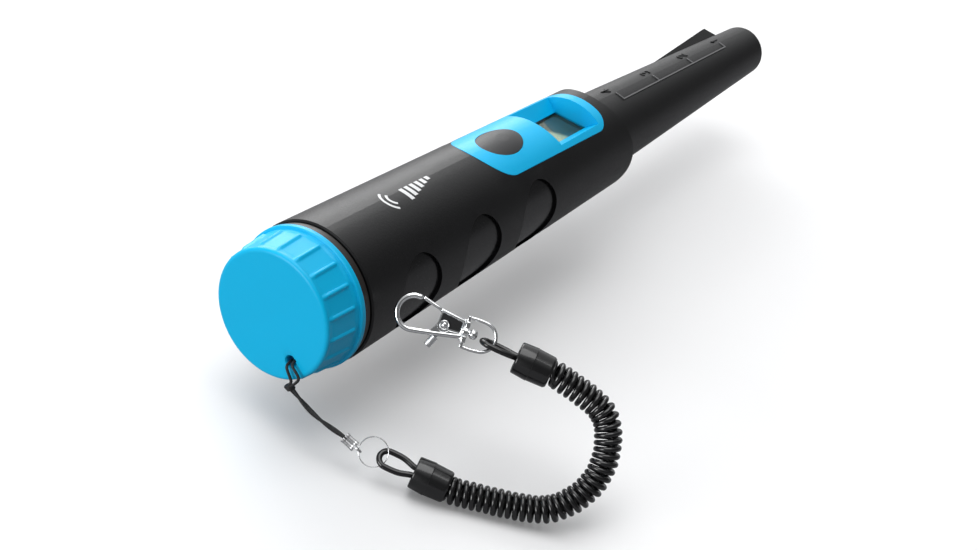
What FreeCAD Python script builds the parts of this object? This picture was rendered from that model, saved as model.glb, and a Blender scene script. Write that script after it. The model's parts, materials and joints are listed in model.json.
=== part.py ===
"""Hand-held pinpointer probe with a coiled lanyard, built as separate pieces, in millimetres.

Frame: the origin is the middle of the end cap's outer face. +X runs along the handle to the
probe's tip, +Z is up through the middle of the display, and -Y is the side the lanyard hangs on.
"""
import FreeCAD, Part
import math
import os
import re
import Sketcher
from FreeCAD import Placement, Rotation, Vector

DIMENSIONS = {
    # overall
    "total_length": 279.4,
    "fit_gap": 0.05,
    # end cap
    "cap_length": 14.8,
    "cap_face_radius": 19.4,
    "cap_side_radius": 20.3,
    "cap_flange_radius": 21.33,
    "cap_flange_width": 2.0,
    "cap_edge_radius": 1.4,
    "cap_floor": 3.0,
    "cap_bore_radius": 16.4,
    "cap_neck_radius": 17.93,
    "cap_neck_end": 27.5,
    "cap_rib_count": 19,
    "cap_rib_phase": 9.7,
    "cap_rib_radius": 0.75,
    "cap_rib_start": 1.5,
    "cap_rib_length": 10.0,
    "seal_end": 17.69,
    "seal_radius": 20.7,
    # lanyard hole in the cap's face
    "eye_angle": 139.0,
    "eye_offset": 14.0,
    "eye_radius": 1.75,
    "eye_depth": 4.6,
    "eye_boss_radius": 2.9,
    "eye_boss_end": 5.6,
    "eye_bar_radius": 0.5,
    "eye_bar_depth": 2.3,
    # handle
    "barrel_rear": 17.74,
    "barrel_rear_radius": 21.45,
    "barrel_front": 168.0,
    "barrel_front_radius": 17.83,
    "barrel_bore_radius": 18.0,
    "barrel_bore_end": 30.0,
    "shoulder_place": 157.5,
    "shoulder_radius": 15.37,
    "sleeve_hole_radius": 14.4,
    "nose_arc_radius": 27.2,
    "nose_tip": 166.2,
    "grip_pitch": 32.25,
    "grip_first": 42.0,
    "grip_half_length": 10.3,
    "grip_half_height": 12.3,
    "grip_depth": 0.9,
    # display bezel
    "bezel_front": 154.5,
    "bezel_half_width": 12.0,
    "bezel_oval_middle": 99.8,
    "bezel_oval_length": 10.4,
    "bezel_front_round": 5.5,
    "bezel_skin": 1.55,
    "bezel_proud": 0.12,
    "bezel_ledge": 1.4,
    "pocket_floor": 12.0,
    "pocket_top": 20.0,
    "pocket_rear": 128.5,
    "pocket_front": 149.8,
    "pocket_half_width": 5.9,
    "pocket_rear_slope": 3.5,
    "pocket_front_slope": 0.7,
    "pocket_side_slope": 9.9,
    "pocket_wall": 1.2,
    "lens_thickness": 0.8,
    "lens_lip": 1.1,
    # power button
    "button_middle": 105.3,
    "button_half_length": 9.3,
    "button_half_width": 6.5,
    "button_gap": 0.15,
    "button_proud": 0.9,
    "button_dome_middle": 9.0,
    "button_dome_rise": 11.3,
    "button_dome_length": 23.8,
    "button_dome_width": 11.44,
    "button_flange": 1.1,
    "button_flange_bottom": 14.7,
    "button_flange_thickness": 1.3,
    "button_stem_radius": 2.0,
    "button_stem_bottom": 11.55,
    # probe sleeve
    "sleeve_rear": 154.6,
    "sleeve_flange_end": 157.05,
    "sleeve_flange_radius": 15.25,
    "sleeve_rear_radius": 14.27,
    "sleeve_tip_radius": 9.03,
    "sleeve_wall": 1.8,
    "sleeve_tip_round": 2.8,
    "sleeve_tip_wall": 2.4,
    "ruler_first": 177.7,
    "ruler_pitch": 25.4,
    "ruler_angle": 17.0,
    "ruler_tick_span": 15.0,
    "ruler_height": 0.3,
    "ruler_width": 0.5,
    "blade_angle": -65.0,
    "blade_rear": 222.0,
    "blade_peak": 266.0,
    "blade_front": 270.5,
    "blade_height": 4.4,
    "blade_thickness": 1.3,
    "gasket_thickness": 0.35,
    "nut_rear": 152.2,
    "nut_width": 2.3,
    "nut_radius": 15.38,
    "nut_bore_radius": 13.0,
    # battery and its holder
    "battery_rear": 6.6,
    "battery_length": 46.4,
    "battery_width": 26.5,
    "battery_height": 17.5,
    "stud_spacing": 12.7,
    "stud_height": 2.1,
    "small_stud_radius": 2.9,
    "large_stud_radius": 4.0,
    "pad_radius": 10.4,
    "tray_end": 60.5,
    "tray_wall": 2.0,
    "tray_gap": 0.3,
    "snap_length": 4.0,
    "snap_width": 25.0,
    "snap_height": 12.0,
    "lead_height": 4.6,
    "lead_radius": 0.7,
    # electronics
    "chassis_rear": 63.0,
    "chassis_front": 148.0,
    "chassis_width": 26.0,
    "chassis_bottom": 2.2,
    "chassis_thickness": 1.6,
    "chassis_rib_width": 2.0,
    "chassis_rear_rib": 17.2,
    "chassis_front_rib": 15.5,
    "board_rear": 66.0,
    "board_front": 147.0,
    "board_width": 25.0,
    "board_bottom": 5.6,
    "board_thickness": 1.6,
    "boss_radius": 2.3,
    "boss_inset": 4.0,
    "boss_side": 10.0,
    "screw_radius": 1.0,
    "screw_head_radius": 1.9,
    "screw_head_height": 1.3,
    "screw_length": 3.0,
    "lcd_rear": 126.5,
    "lcd_length": 24.5,
    "lcd_width": 16.6,
    "lcd_thickness": 2.0,
    "lcd_top": 11.05,
    "backlight_thickness": 1.7,
    "switch_side": 6.0,
    "switch_height": 3.0,
    "plunger_radius": 1.7,
    "plunger_bottom": 8.8,
    "plunger_top": 11.2,
    "buzzer_radius": 6.0,
    "buzzer_height": 5.5,
    "buzzer_middle": 80.0,
    "motor_radius": 3.5,
    "motor_rear": 98.0,
    "motor_length": 12.0,
    "motor_height": -3.2,
    "shaft_radius": 0.75,
    "weight_radius": 3.2,
    "weight_length": 3.4,
    # sensing coils in the probe
    "rod_radius": 4.5,
    "rod_rear": 176.0,
    "rod_length": 94.0,
    "former_rear": 172.0,
    "former_front": 272.0,
    "former_bore": 4.6,
    "former_radius": 5.6,
    "former_flange_radius": 7.2,
    "former_rear_radius": 11.4,
    "former_flange_width": 1.5,
    "transmit_rear": 187.6,
    "receive_rear": 239.7,
    "coil_length": 23.0,
    "coil_radius": 6.9,
    "foam_length": 4.8,
    "foam_radius": 6.4,
    "cable_radius": 0.7,
    # lanyard: its plane, and places in that plane from the knot at the cap's edge
    "lanyard_azimuth": -63.15,
    "lanyard_elevation": 32.0,
    "lanyard_roll": 14.5,
    "knot_back": -0.9,
    "knot_side": -10.9,
    "knot_height": -17.6,
    "cord_loop_radius": 0.42,
    "cord_run_radius": 0.75,
    "cord_knot_radius": 1.05,
    "cord_spread": 1.12,
    "crimp_x": 16.6,
    "crimp_y": -15.2,
    "crimp_angle": -42.7,
    "crimp_length": 4.2,
    "crimp_tube_radius": 0.85,
    "crimp_eye_radius": 1.1,
    "crimp_eye_wire": 0.3,
    "ring_x": 23.1,
    "ring_y": -17.95,
    "ring_radius": 4.17,
    "ring_wire": 0.28,
    "ferrule_radius": 4.9,
    "ferrule_length": 10.6,
    "ferrule_angle": -25.3,
    "near_x": 34.07,
    "near_y": -23.3,
    "far_x": 62.27,
    "far_y": 8.17,
    "loop_length": 10.2,
    "loop_half_width": 2.5,
    "loop_wire": 0.85,
    "near_loop_tilt": 32.0,
    "far_loop_tilt": 80.0,
    "coil_middle_x": 68.4,
    "coil_middle_y": -14.6,
    "coil_bend_radius": 19.1,
    "cord_coil_radius": 3.95,
    "cord_coil_bore": 2.4,
    "dee_x": 48.3,
    "dee_y": 15.0,
    "dee_angle": -18.4,
    "dee_length": 8.7,
    "dee_half_width": 4.15,
    "dee_wire": 0.5,
    "post_radius": 0.9,
    "post_head_radius": 1.4,
    "post_head_length": 2.4,
    "hook_eye_x": 15.0,
    "hook_eye_y": -0.6,
    "hook_eye_radius": 4.75,
    "hook_wire": 0.75,
    "hook_root_half_width": 2.4,
    "hook_body_length": 7.8,
    "rivet_reach": 6.0,
    "rivet_radius": 0.7,
    "gate_thickness": 0.6,
    "gate_bar_radius": 0.55,
    "gate_tip_reach": 9.45,
}

doc = FreeCAD.newDocument("pinpointer")
sheet = doc.addObject("Spreadsheet::Sheet", "Dim")
ALONG_X = Rotation(Vector(0, 1, 0), 90)
ALONG_Y = Rotation(Vector(1, 0, 0), -90)
UPRIGHT = Rotation()


def fill_sheet():
    """Write each driving dimension into the sheet, with its alias."""
    for row, (alias, number) in enumerate(DIMENSIONS.items(), 1):
        sheet.set(f"A{row}", alias.replace("_", " "))
        sheet.set(f"B{row}", str(number))
        sheet.setAlias(f"B{row}", alias)
    doc.recompute()


def on_sheet(formula):
    """Turn a formula that uses plain aliases into one that reads the sheet."""
    return re.sub(r"[a-z]\w*_\w+", lambda word: "Dim." + word.group(0), str(formula))


def size(formula):
    """The present number of a formula."""
    return float(sheet.evalExpression(on_sheet(formula)))


def bind(thing, **formulas):
    """Bind properties of a document object to formulas of the sheet."""
    for name, formula in formulas.items():
        thing.setExpression(name, on_sheet(formula))


def move(thing, base=(0, 0, 0), rotation=UPRIGHT):
    """Give an object its rotation, and bind its place to formulas."""
    thing.Placement = Placement(Vector(), rotation)
    for axis, formula in zip("xyz", base):
        thing.setExpression(f"Placement.Base.{axis}", on_sheet(formula))
    return thing


def box(name, length, width, height, base):
    """A box with its low corner at base."""
    thing = doc.addObject("Part::Box", name)
    bind(thing, Length=length, Width=width, Height=height)
    return move(thing, base)


def cylinder(name, radius, height, base, rotation=UPRIGHT, angle=360):
    """A cylinder that starts at base and runs along its own axis."""
    thing = doc.addObject("Part::Cylinder", name)
    bind(thing, Radius=radius, Height=height, Angle=angle)
    return move(thing, base, rotation)


def tube_along_x(name, outer, inner, start, length):
    """A plain tube along X."""
    outside = cylinder(name + "_outside", outer, length, (start, 0, 0), ALONG_X)
    inside = cylinder(name + "_bore", inner, f"({length}) + 2", (f"({start}) - 1", 0, 0), ALONG_X)
    return cut(name, outside, inside)


def ellipse_post(name, half_x, half_other, height, base, rotation=UPRIGHT):
    """A straight post of elliptical section; half_x is its half size along X."""
    outline = doc.addObject("Part::Ellipse", name + "_outline")
    turned = size(half_x) < size(half_other)
    bind(outline, MajorRadius=half_other if turned else half_x)
    bind(outline, MinorRadius=half_x if turned else half_other)
    quarter = Rotation(Vector(0, 0, 1), 90 if turned else 0)
    move(outline, base, rotation.multiply(quarter))
    post = doc.addObject("Part::Extrusion", name)
    post.Base = outline
    post.DirMode = "Custom"
    post.Dir = rotation.multVec(Vector(0, 0, 1))
    post.Solid = True
    bind(post, LengthFwd=height)
    return post


def cut(name, base, *tools):
    """Base less each tool in turn."""
    tool = tools[0] if len(tools) == 1 else fuse(name + "_tools", *tools)
    thing = doc.addObject("Part::Cut", name)
    thing.Base = base
    thing.Tool = tool
    return thing


def fuse(name, *pieces):
    """One solid from several."""
    thing = doc.addObject("Part::MultiFuse", name)
    thing.Shapes = list(pieces)
    thing.Refine = True
    return thing


def common(name, *pieces):
    """What all the pieces share."""
    thing = doc.addObject("Part::MultiCommon", name)
    thing.Shapes = list(pieces)
    return thing


def group(name, *pieces):
    """Several separate solids kept as one object."""
    thing = doc.addObject("Part::Compound", name)
    thing.Links = list(pieces)
    return thing


def origin_feature(body, role):
    """A body's own origin plane or axis."""
    return next(item for item in body.Origin.OriginFeatures if item.Role == role)


def outline_sketch(body, name, plane, corners):
    """A closed outline of straight lines, with each corner bound to two formulas."""
    sketch = body.newObject("Sketcher::SketchObject", name)
    sketch.AttachmentSupport = [(origin_feature(body, plane), "")]
    sketch.MapMode = "FlatFace"
    points = [Vector(size(across), size(up), 0) for across, up in corners]
    for start, end in zip(points, points[1:] + points[:1]):
        sketch.addGeometry(Part.LineSegment(start, end), False)
    count = len(points)
    for index in range(count):
        sketch.addConstraint(Sketcher.Constraint("Coincident", index, 2, (index + 1) % count, 1))
    for index, (across, up) in enumerate(corners):
        for kind, formula in (("DistanceX", across), ("DistanceY", up)):
            constraint = Sketcher.Constraint(kind, -1, 1, index, 1, size(formula))
            number = sketch.addConstraint(constraint)
            sketch.renameConstraint(number, f"{kind}{index}")
            sketch.setExpression(f"Constraints.{kind}{index}", on_sheet(formula))
    return sketch


def turned_body(name, corners):
    """A body turned about the X axis from an outline of (along X, radius) corners."""
    body = doc.addObject("PartDesign::Body", name)
    sketch = outline_sketch(body, name + "_outline", "XZ_Plane", corners)
    turn = body.newObject("PartDesign::Revolution", name + "_turn")
    turn.Profile = sketch
    turn.ReferenceAxis = (origin_feature(body, "X_Axis"), [""])
    turn.Angle = 360
    sketch.Visibility = False
    doc.recompute()
    return body


def padded_body(name, plane, corners, thickness):
    """A body padded from a straight-lined outline on one of its own planes."""
    body = doc.addObject("PartDesign::Body", name)
    sketch = outline_sketch(body, name + "_outline", plane, corners)
    pad = body.newObject("PartDesign::Pad", name + "_pad")
    pad.Profile = sketch
    bind(pad, Length=thickness)
    doc.recompute()
    return body


def round_edges(body, name, radius, wanted):
    """Fillet the edges of a body that the wanted() test picks."""
    base = body.Tip
    edges = [f"Edge{number}" for number, edge in enumerate(base.Shape.Edges, 1) if wanted(edge)]
    fillet = body.newObject("PartDesign::Fillet", name)
    fillet.Base = (base, edges)
    bind(fillet, Radius=radius)
    doc.recompute()
    return fillet


def feature(name, shape, placement=None):
    """An object whose shape is made directly, where no parametric feature fits."""
    thing = doc.addObject("Part::Feature", name)
    thing.Shape = shape
    if placement is not None:
        thing.Placement = placement
    return thing


def pipe(points, radius, closed=False):
    """A round cord along a smooth curve through the points."""
    curve = Part.BSplineCurve()
    curve.interpolate(points, PeriodicFlag=closed)
    spine = Part.Wire([curve.toShape()])
    start = curve.value(curve.FirstParameter)
    ahead = curve.tangent(curve.FirstParameter)[0]
    section = Part.Wire([Part.makeCircle(radius, start, ahead)])
    return spine.makePipeShell([section], True, False)


# ---- end cap and seal -------------------------------------------------------------------------

def end_cap():
    """Screw cap: a cup with a ribbed skirt, a rear flange and a neck that enters the handle."""
    side = "cap_length - cap_flange_width"
    body = turned_body("cap_cup", [
        ("0", "0"),
        ("0", "cap_face_radius"),
        (side, "cap_side_radius"),
        (side, "cap_flange_radius"),
        ("cap_length", "cap_flange_radius"),
        ("cap_length", "cap_neck_radius"),
        ("cap_neck_end", "cap_neck_radius"),
        ("cap_neck_end", "cap_bore_radius"),
        ("cap_floor", "cap_bore_radius"),
        ("cap_floor", "0"),
    ])
    at_face = lambda edge: edge.BoundBox.XMax < 0.1 and edge.BoundBox.DiagonalLength > 20
    round_edges(body, "cap_face_round", "cap_edge_radius", at_face)
    at_flange = lambda edge: abs(edge.BoundBox.YMax - size("cap_flange_radius")) < 0.01
    round_edges(body, "cap_flange_round", "cap_flange_width * 0.3", at_flange)
    ribs = [cap_rib(number) for number in range(int(size("cap_rib_count")))]
    radial = Rotation(Vector(1, 0, 0), size("eye_angle"))
    boss = cylinder("eye_boss", "eye_boss_radius", "eye_boss_end - cap_floor + 0.5",
                    ("cap_floor - 0.5", *eye_place("eye_offset")), ALONG_X)
    hole = cylinder("eye_hole", "eye_radius", "eye_depth + 1", ("-1", *eye_place("eye_offset")),
                    ALONG_X)
    bar = cylinder("eye_bar", "eye_bar_radius", "2 * (eye_radius + 0.4)",
                   ("eye_bar_depth", *eye_place("eye_offset - eye_radius - 0.4")), radial)
    bored = cut("cap_bored", fuse("cap_with_ribs", body, boss, *ribs), hole)
    return fuse("end_cap", bored, bar)


def eye_place(offset):
    """Formulas for Y and Z of a point on the lanyard hole's radius, at an offset from the axis."""
    return f"0 - ({offset}) * sin(eye_angle)", f"({offset}) * cos(eye_angle)"


def cap_rib(number):
    """One slim finger rib along the skirt, with round ends."""
    turn = 360.0 / size("cap_rib_count") * number + size("cap_rib_phase")
    start, length, radius = size("cap_rib_start"), size("cap_rib_length"), size("cap_rib_radius")
    rise = (size("cap_side_radius") - size("cap_face_radius")) / size("cap_length - cap_flange_width")
    sunk = 0.35 * radius
    low = Vector(start, 0, size("cap_face_radius") + rise * start - sunk)
    high = Vector(start + length, 0, size("cap_face_radius") + rise * (start + length) - sunk)
    along = high - low
    rod = Part.makeCylinder(radius, along.Length, low, along)
    ends = [Part.makeSphere(radius, point) for point in (low, high)]
    rib = rod.fuse(ends).removeSplitter()
    return feature(f"cap_rib_{number}", rib, Placement(Vector(), Rotation(Vector(1, 0, 0), turn)))


def cap_seal():
    """Rubber ring between the cap's flange and the handle; it slides on the cap's neck."""
    body = turned_body("cap_seal", [
        ("cap_length + fit_gap", "cap_neck_radius + fit_gap"),
        ("cap_length + fit_gap", "seal_radius - 0.4"),
        ("cap_length + fit_gap + 0.4", "seal_radius"),
        ("seal_end - 0.4", "seal_radius"),
        ("seal_end", "seal_radius - 0.4"),
        ("seal_end", "cap_neck_radius + fit_gap"),
    ])
    return body


def battery_pad():
    """Foam pad glued inside the cap, which keeps the battery from rattling."""
    return cylinder("battery_pad", "pad_radius", "battery_rear - cap_floor - 0.2",
                    ("cap_floor + fit_gap", 0, 0), ALONG_X)


# ---- handle -----------------------------------------------------------------------------------

def taper(offset):
    """Corners of a solid cone that follows the handle's outside at a given offset."""
    slope = "(barrel_rear_radius - barrel_front_radius) / (barrel_front - barrel_rear)"
    ahead = f"barrel_front_radius + {offset} - 10 * {slope}"
    return [
        ("barrel_rear", "0"),
        ("barrel_rear", f"barrel_rear_radius + {offset}"),
        ("barrel_front + 10", ahead),
        ("barrel_front + 10", "0"),
    ]


def bezel_prism(name, margin, low, height):
    """Upright prism with the bezel's outline: a half-oval rear and a front with rounded corners."""
    half = f"bezel_half_width - ({margin})"
    front = f"bezel_front - ({margin})"
    body = padded_body(name + "_block", "XY_Plane", [
        ("bezel_oval_middle", f"0 - ({half})"),
        (front, f"0 - ({half})"),
        (front, half),
        ("bezel_oval_middle", half),
    ], height)
    at_front = lambda edge: edge.BoundBox.ZLength > 1 and edge.BoundBox.XMin > size(front) - 0.01
    round_edges(body, name + "_round", f"bezel_front_round - ({margin})", at_front)
    move(body, (0, 0, low))
    rear = ellipse_post(name + "_rear", f"bezel_oval_length - ({margin})", half, height,
                        ("bezel_oval_middle", 0, low))
    return fuse(name, body, rear)


def grip_recess(number, side):
    """One oval, shallow grip recess: an oval post less the cone that is left standing."""
    along = f"grip_first + {number} * grip_pitch"
    start = "-30" if side < 0 else "10"
    post = ellipse_post(f"grip_post_{number}_{side + 1}", "grip_half_length", "grip_half_height",
                        20, (along, start, 0), ALONG_Y)
    core = turned_body(f"grip_core_{number}_{side + 1}", taper("(0 - grip_depth)"))
    return cut(f"grip_recess_{number}_{side + 1}", post, core)


def handle_barrel():
    """Tapered handle shell: battery bore, electronics cavity, shaped nose, seats and recesses."""
    shell = turned_body("barrel_shell", [
        ("barrel_rear", "barrel_bore_radius"),
        ("barrel_rear", "barrel_rear_radius - 0.45"),
        ("barrel_rear + 0.45", "barrel_rear_radius"),
        ("barrel_front", "barrel_front_radius"),
        ("barrel_front", "sleeve_hole_radius"),
        ("shoulder_place", "sleeve_hole_radius"),
        ("shoulder_place", "shoulder_radius"),
        ("barrel_bore_end", "barrel_bore_radius"),
    ])
    nose = cylinder("nose_round", "nose_arc_radius", 60, ("nose_tip - nose_arc_radius", -30, 0),
                    ALONG_Y)
    rest = box("nose_rest", "nose_tip - nose_arc_radius", 60, 60, (0, -30, -30))
    shaped = common("barrel_shaped", shell, fuse("nose_space", nose, rest))
    seat_core = turned_body("seat_core", taper("(0 - bezel_skin - fit_gap)"))
    seat = cut("bezel_seat", bezel_prism("seat_prism", "0 - fit_gap", 5, 25), seat_core)
    opening = bezel_prism("bezel_opening", "bezel_ledge", 5, 25)
    recesses = [grip_recess(number, side) for side in (-1, 1) for number in range(3)]
    return cut("handle_barrel", shaped, seat, opening, *recesses)


# ---- display and button -----------------------------------------------------------------------

def pocket_wedge(name, grow, low):
    """Flared display pocket, from its floor up, grown by a wall thickness on each side."""
    wedge = doc.addObject("Part::Wedge", name)
    flare = f"pocket_side_slope * (pocket_top - ({low})) / (pocket_top - pocket_floor)"
    half = f"pocket_half_width + pocket_side_slope - {flare} + ({grow})"
    top_half = f"pocket_half_width + pocket_side_slope + ({grow})"
    bind(wedge, Ymin=low, Ymax="pocket_top")
    bind(wedge, Xmin=f"pocket_rear - ({grow})", Xmax=f"pocket_front + ({grow})")
    bind(wedge, Zmin=f"0 - ({half})", Zmax=half)
    bind(wedge, X2min=f"pocket_rear - pocket_rear_slope - ({grow})")
    bind(wedge, X2max=f"pocket_front + pocket_front_slope + ({grow})")
    bind(wedge, Z2min=f"0 - ({top_half})", Z2max=top_half)
    wedge.Placement = Placement(Vector(), Rotation(Vector(1, 0, 0), 90))
    return wedge


def display_bezel():
    """Inlaid blue bezel: a curved skin with a button hole and a flared display pocket."""
    outside = turned_body("bezel_outside", taper("bezel_proud"))
    inside = turned_body("bezel_inside", taper("(0 - bezel_skin)"))
    skin_prism = bezel_prism("bezel_skin_prism", "0", 5, 25)
    skin = cut("bezel_skin_shape", common("bezel_cap", skin_prism, outside), inside)
    inner_prism = bezel_prism("bezel_inner_prism", "bezel_ledge + fit_gap", 5, 25)
    walls = common("pocket_walls", pocket_wedge("pocket_outer", "pocket_wall", "pocket_floor"),
                   outside, inner_prism)
    lip = "pocket_wall + lens_lip"
    rim = box("lens_rim", f"pocket_front - pocket_rear + {lip} + pocket_wall",
              f"2 * (pocket_half_width + {lip})", "lens_thickness + 1.2",
              (f"pocket_rear - ({lip})", f"0 - pocket_half_width - ({lip})",
               "pocket_floor - lens_thickness"))
    seat = box("lens_seat", "pocket_front - pocket_rear + lens_lip + 0.5 * pocket_wall",
               "2 * (pocket_half_width + lens_lip)", "lens_thickness + 0.01",
               ("pocket_rear - lens_lip", "0 - pocket_half_width - lens_lip",
                "pocket_floor - lens_thickness - 0.01"))
    pocket = pocket_wedge("pocket_inner", "0", "pocket_floor - lens_thickness")
    hole = ellipse_post("button_hole", "button_half_length + button_gap",
                        "button_half_width + button_gap", 15, ("button_middle", 0, 12))
    return cut("display_bezel", fuse("bezel_solid", skin, walls, rim), seat, pocket, hole)


def display_window():
    """Clear lens in its seat under the pocket."""
    return box("display_window",
               "pocket_front - pocket_rear + lens_lip + 0.5 * pocket_wall - 2 * fit_gap",
               "2 * (pocket_half_width + lens_lip - fit_gap)", "lens_thickness - fit_gap",
               ("pocket_rear - lens_lip + fit_gap",
                "0 - pocket_half_width - lens_lip + fit_gap",
                "pocket_floor - lens_thickness"))


def power_button():
    """Rubber push button: a domed oval crown, a hidden flange and a stem over the switch."""
    crown_post = ellipse_post("button_crown_post", "button_half_length", "button_half_width", 12,
                              ("button_middle", 0, "button_flange_bottom"))
    roof = turned_body("button_roof", taper("button_proud"))
    dome = doc.addObject("Part::Ellipsoid", "button_dome")
    bind(dome, Radius1="button_dome_rise", Radius2="button_dome_length", Radius3="button_dome_width")
    move(dome, ("button_middle", 0, "button_dome_middle"))
    crown = common("button_crown", crown_post, roof, dome)
    flange = ellipse_post("button_flange_post", "button_half_length + button_flange",
                          "button_half_width + button_flange", "button_flange_thickness",
                          ("button_middle", 0, "button_flange_bottom"))
    stem = cylinder("button_stem", "button_stem_radius",
                    "button_flange_bottom - button_stem_bottom + 0.5",
                    ("button_middle", 0, "button_stem_bottom"))
    return fuse("power_button", crown, flange, stem)


def lcd_panel():
    """Liquid-crystal glass under the lens."""
    return box("lcd_panel", "lcd_length", "lcd_width", "lcd_thickness",
               ("lcd_rear", "0 - lcd_width / 2", "lcd_top - lcd_thickness"))


def lcd_backlight():
    """Light guide between the glass and the board."""
    return box("lcd_backlight", "lcd_length - 4", "lcd_width - 1", "backlight_thickness",
               ("lcd_rear + 1", "0 - lcd_width / 2 + 0.5",
                "lcd_top - lcd_thickness - fit_gap - backlight_thickness"))


# ---- battery compartment ----------------------------------------------------------------------

def battery():
    """Nine-volt block with its two snap studs."""
    block = box("battery_block", "battery_length", "battery_width", "battery_height",
                ("battery_rear", "0 - battery_width / 2", "0 - battery_height / 2"))
    end = "battery_rear + battery_length - 0.5"
    small = cylinder("small_stud", "small_stud_radius", "stud_height + 0.5",
                     (end, "stud_spacing / 2", 0), ALONG_X)
    large = cylinder("large_stud", "large_stud_radius", "stud_height + 0.5",
                     (end, "0 - stud_spacing / 2", 0), ALONG_X)
    return fuse("battery", block, small, large)


def battery_tray():
    """Fixed holder that guides the battery's front end, with a bulkhead for the leads."""
    body = turned_body("tray_body", [
        ("barrel_bore_end", "0"),
        ("barrel_bore_end", "barrel_bore_radius - 0.1"),
        ("tray_end", "shoulder_radius - 0.1 + (barrel_bore_radius - shoulder_radius)"
                     " * (shoulder_place - tray_end) / (shoulder_place - barrel_bore_end)"),
        ("tray_end", "0"),
    ])
    slot = box("tray_slot", "tray_end - barrel_bore_end - tray_wall + 1",
               "battery_width + 2 * tray_gap", "battery_height + 2 * tray_gap",
               ("barrel_bore_end - 1", "0 - battery_width / 2 - tray_gap",
                "0 - battery_height / 2 - tray_gap"))
    lead_hole = box("tray_lead_hole", 6, 9, 8, ("tray_end - 5", -4.5, "lead_height - 2"))
    return cut("battery_tray", body, slot, lead_hole)


def battery_snap():
    """Snap connector pressed on the battery's studs."""
    start = "battery_rear + battery_length + 0.15"
    plate = box("snap_plate", "snap_length", "snap_width", "snap_height",
                (start, "0 - snap_width / 2", "0 - snap_height / 2"))
    sockets = [
        cylinder("small_socket", "small_stud_radius + 0.1", "stud_height + 1.2",
                 (f"{start} - 1", "stud_spacing / 2", 0), ALONG_X),
        cylinder("large_socket", "large_stud_radius + 0.1", "stud_height + 1.2",
                 (f"{start} - 1", "0 - stud_spacing / 2", 0), ALONG_X),
    ]
    return cut("battery_snap", plate, *sockets)


def battery_leads():
    """Two wires from the snap connector, through the bulkhead, to the top of the board."""
    start = size("battery_rear + battery_length + 0.15 + snap_length + 0.5")
    height = size("lead_height")
    landing = size("board_bottom + board_thickness + lead_radius + fit_gap")
    wires = []
    for side in (-2.5, 2.5):
        points = [Vector(start, side, height), Vector(start + 3, side, height),
                  Vector(size("board_rear") - 2.5, side, landing + 0.4),
                  Vector(size("board_rear") + 1.5, side, landing + 0.2),
                  Vector(size("board_rear") + 5, side, landing)]
        wires.append(pipe(points, size("lead_radius")))
    return feature("battery_leads", Part.makeCompound(wires))


# ---- electronics ------------------------------------------------------------------------------

def boss_places():
    """Middles of the four screw bosses, as formulas along X and Y."""
    for along in ("board_rear + boss_inset", "board_front - boss_inset"):
        for across in ("boss_side", "0 - boss_side"):
            yield along, across


def chassis_rib(name, start, radius):
    """Lower half-round rib that stands in the handle's cavity."""
    disc = cylinder(name + "_disc", radius, "chassis_rib_width", (start, 0, 0), ALONG_X)
    lower = box(name + "_lower", "chassis_rib_width + 2", "2 * barrel_bore_radius",
                "barrel_bore_radius + chassis_bottom + 0.5",
                (f"{start} - 1", "0 - barrel_bore_radius", "0 - barrel_bore_radius"))
    return common(name, disc, lower)


def chassis():
    """Plate that carries the board and the motor, with half-round ribs that fit the cavity."""
    top = "chassis_bottom + chassis_thickness"
    plate = box("chassis_plate", "chassis_front - chassis_rear", "chassis_width",
                "chassis_thickness", ("chassis_rear", "0 - chassis_width / 2", "chassis_bottom"))
    ribs = [
        chassis_rib("rear_rib", "chassis_rear", "chassis_rear_rib"),
        chassis_rib("front_rib", "chassis_front - chassis_rib_width", "chassis_front_rib"),
    ]
    bosses = [cylinder(f"boss_{number}", "boss_radius", f"board_bottom - fit_gap - ({top}) + 0.5",
                       (along, across, f"{top} - 0.5"))
              for number, (along, across) in enumerate(boss_places())]
    pilots = [cylinder(f"pilot_{number}", "screw_radius + fit_gap", 8, (along, across, 1))
              for number, (along, across) in enumerate(boss_places())]
    cradle = cylinder("motor_cradle", "motor_radius + 1.2", "motor_length - 4",
                      ("motor_rear + 2", 0, "motor_height"), ALONG_X)
    hanger = box("motor_hanger", "motor_length - 4", 4, "chassis_bottom - motor_height + 0.5",
                 ("motor_rear + 2", -2, "motor_height"))
    seat = cylinder("motor_seat", "motor_radius + fit_gap", 30,
                    ("motor_rear - 5", 0, "motor_height"), ALONG_X)
    solid = fuse("chassis_solid", plate, *ribs, *bosses, cradle, hanger)
    return cut("chassis", solid, *pilots, seat)


def main_board():
    """Circuit board on the chassis bosses."""
    board = box("board_blank", "board_front - board_rear", "board_width", "board_thickness",
                ("board_rear", "0 - board_width / 2", "board_bottom"))
    holes = [cylinder(f"board_hole_{number}", "screw_radius + 0.1", 6,
                      (along, across, "board_bottom - 2"))
             for number, (along, across) in enumerate(boss_places())]
    return cut("main_board", board, *holes)


def board_screws():
    """Four pan-head screws that hold the board."""
    top = "board_bottom + board_thickness + fit_gap"
    screws = []
    for number, (along, across) in enumerate(boss_places()):
        head = cylinder(f"screw_head_{number}", "screw_head_radius", "screw_head_height",
                        (along, across, top))
        shank = cylinder(f"screw_shank_{number}", "screw_radius", "screw_length + 0.5",
                         (along, across, f"{top} - screw_length"))
        screws.append(fuse(f"screw_{number}", head, shank))
    return group("board_screws", *screws)


def chip(name, along, across, length, width, height):
    """A rectangular part on the board's top face, from its low corner."""
    return box(name, length, width, height,
               (along, across, "board_bottom + board_thickness + fit_gap"))


def can(name, along, across, radius, height):
    """A round part on the board's top face, from its middle."""
    return cylinder(name, radius, height,
                    (along, across, "board_bottom + board_thickness + fit_gap"))


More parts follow.
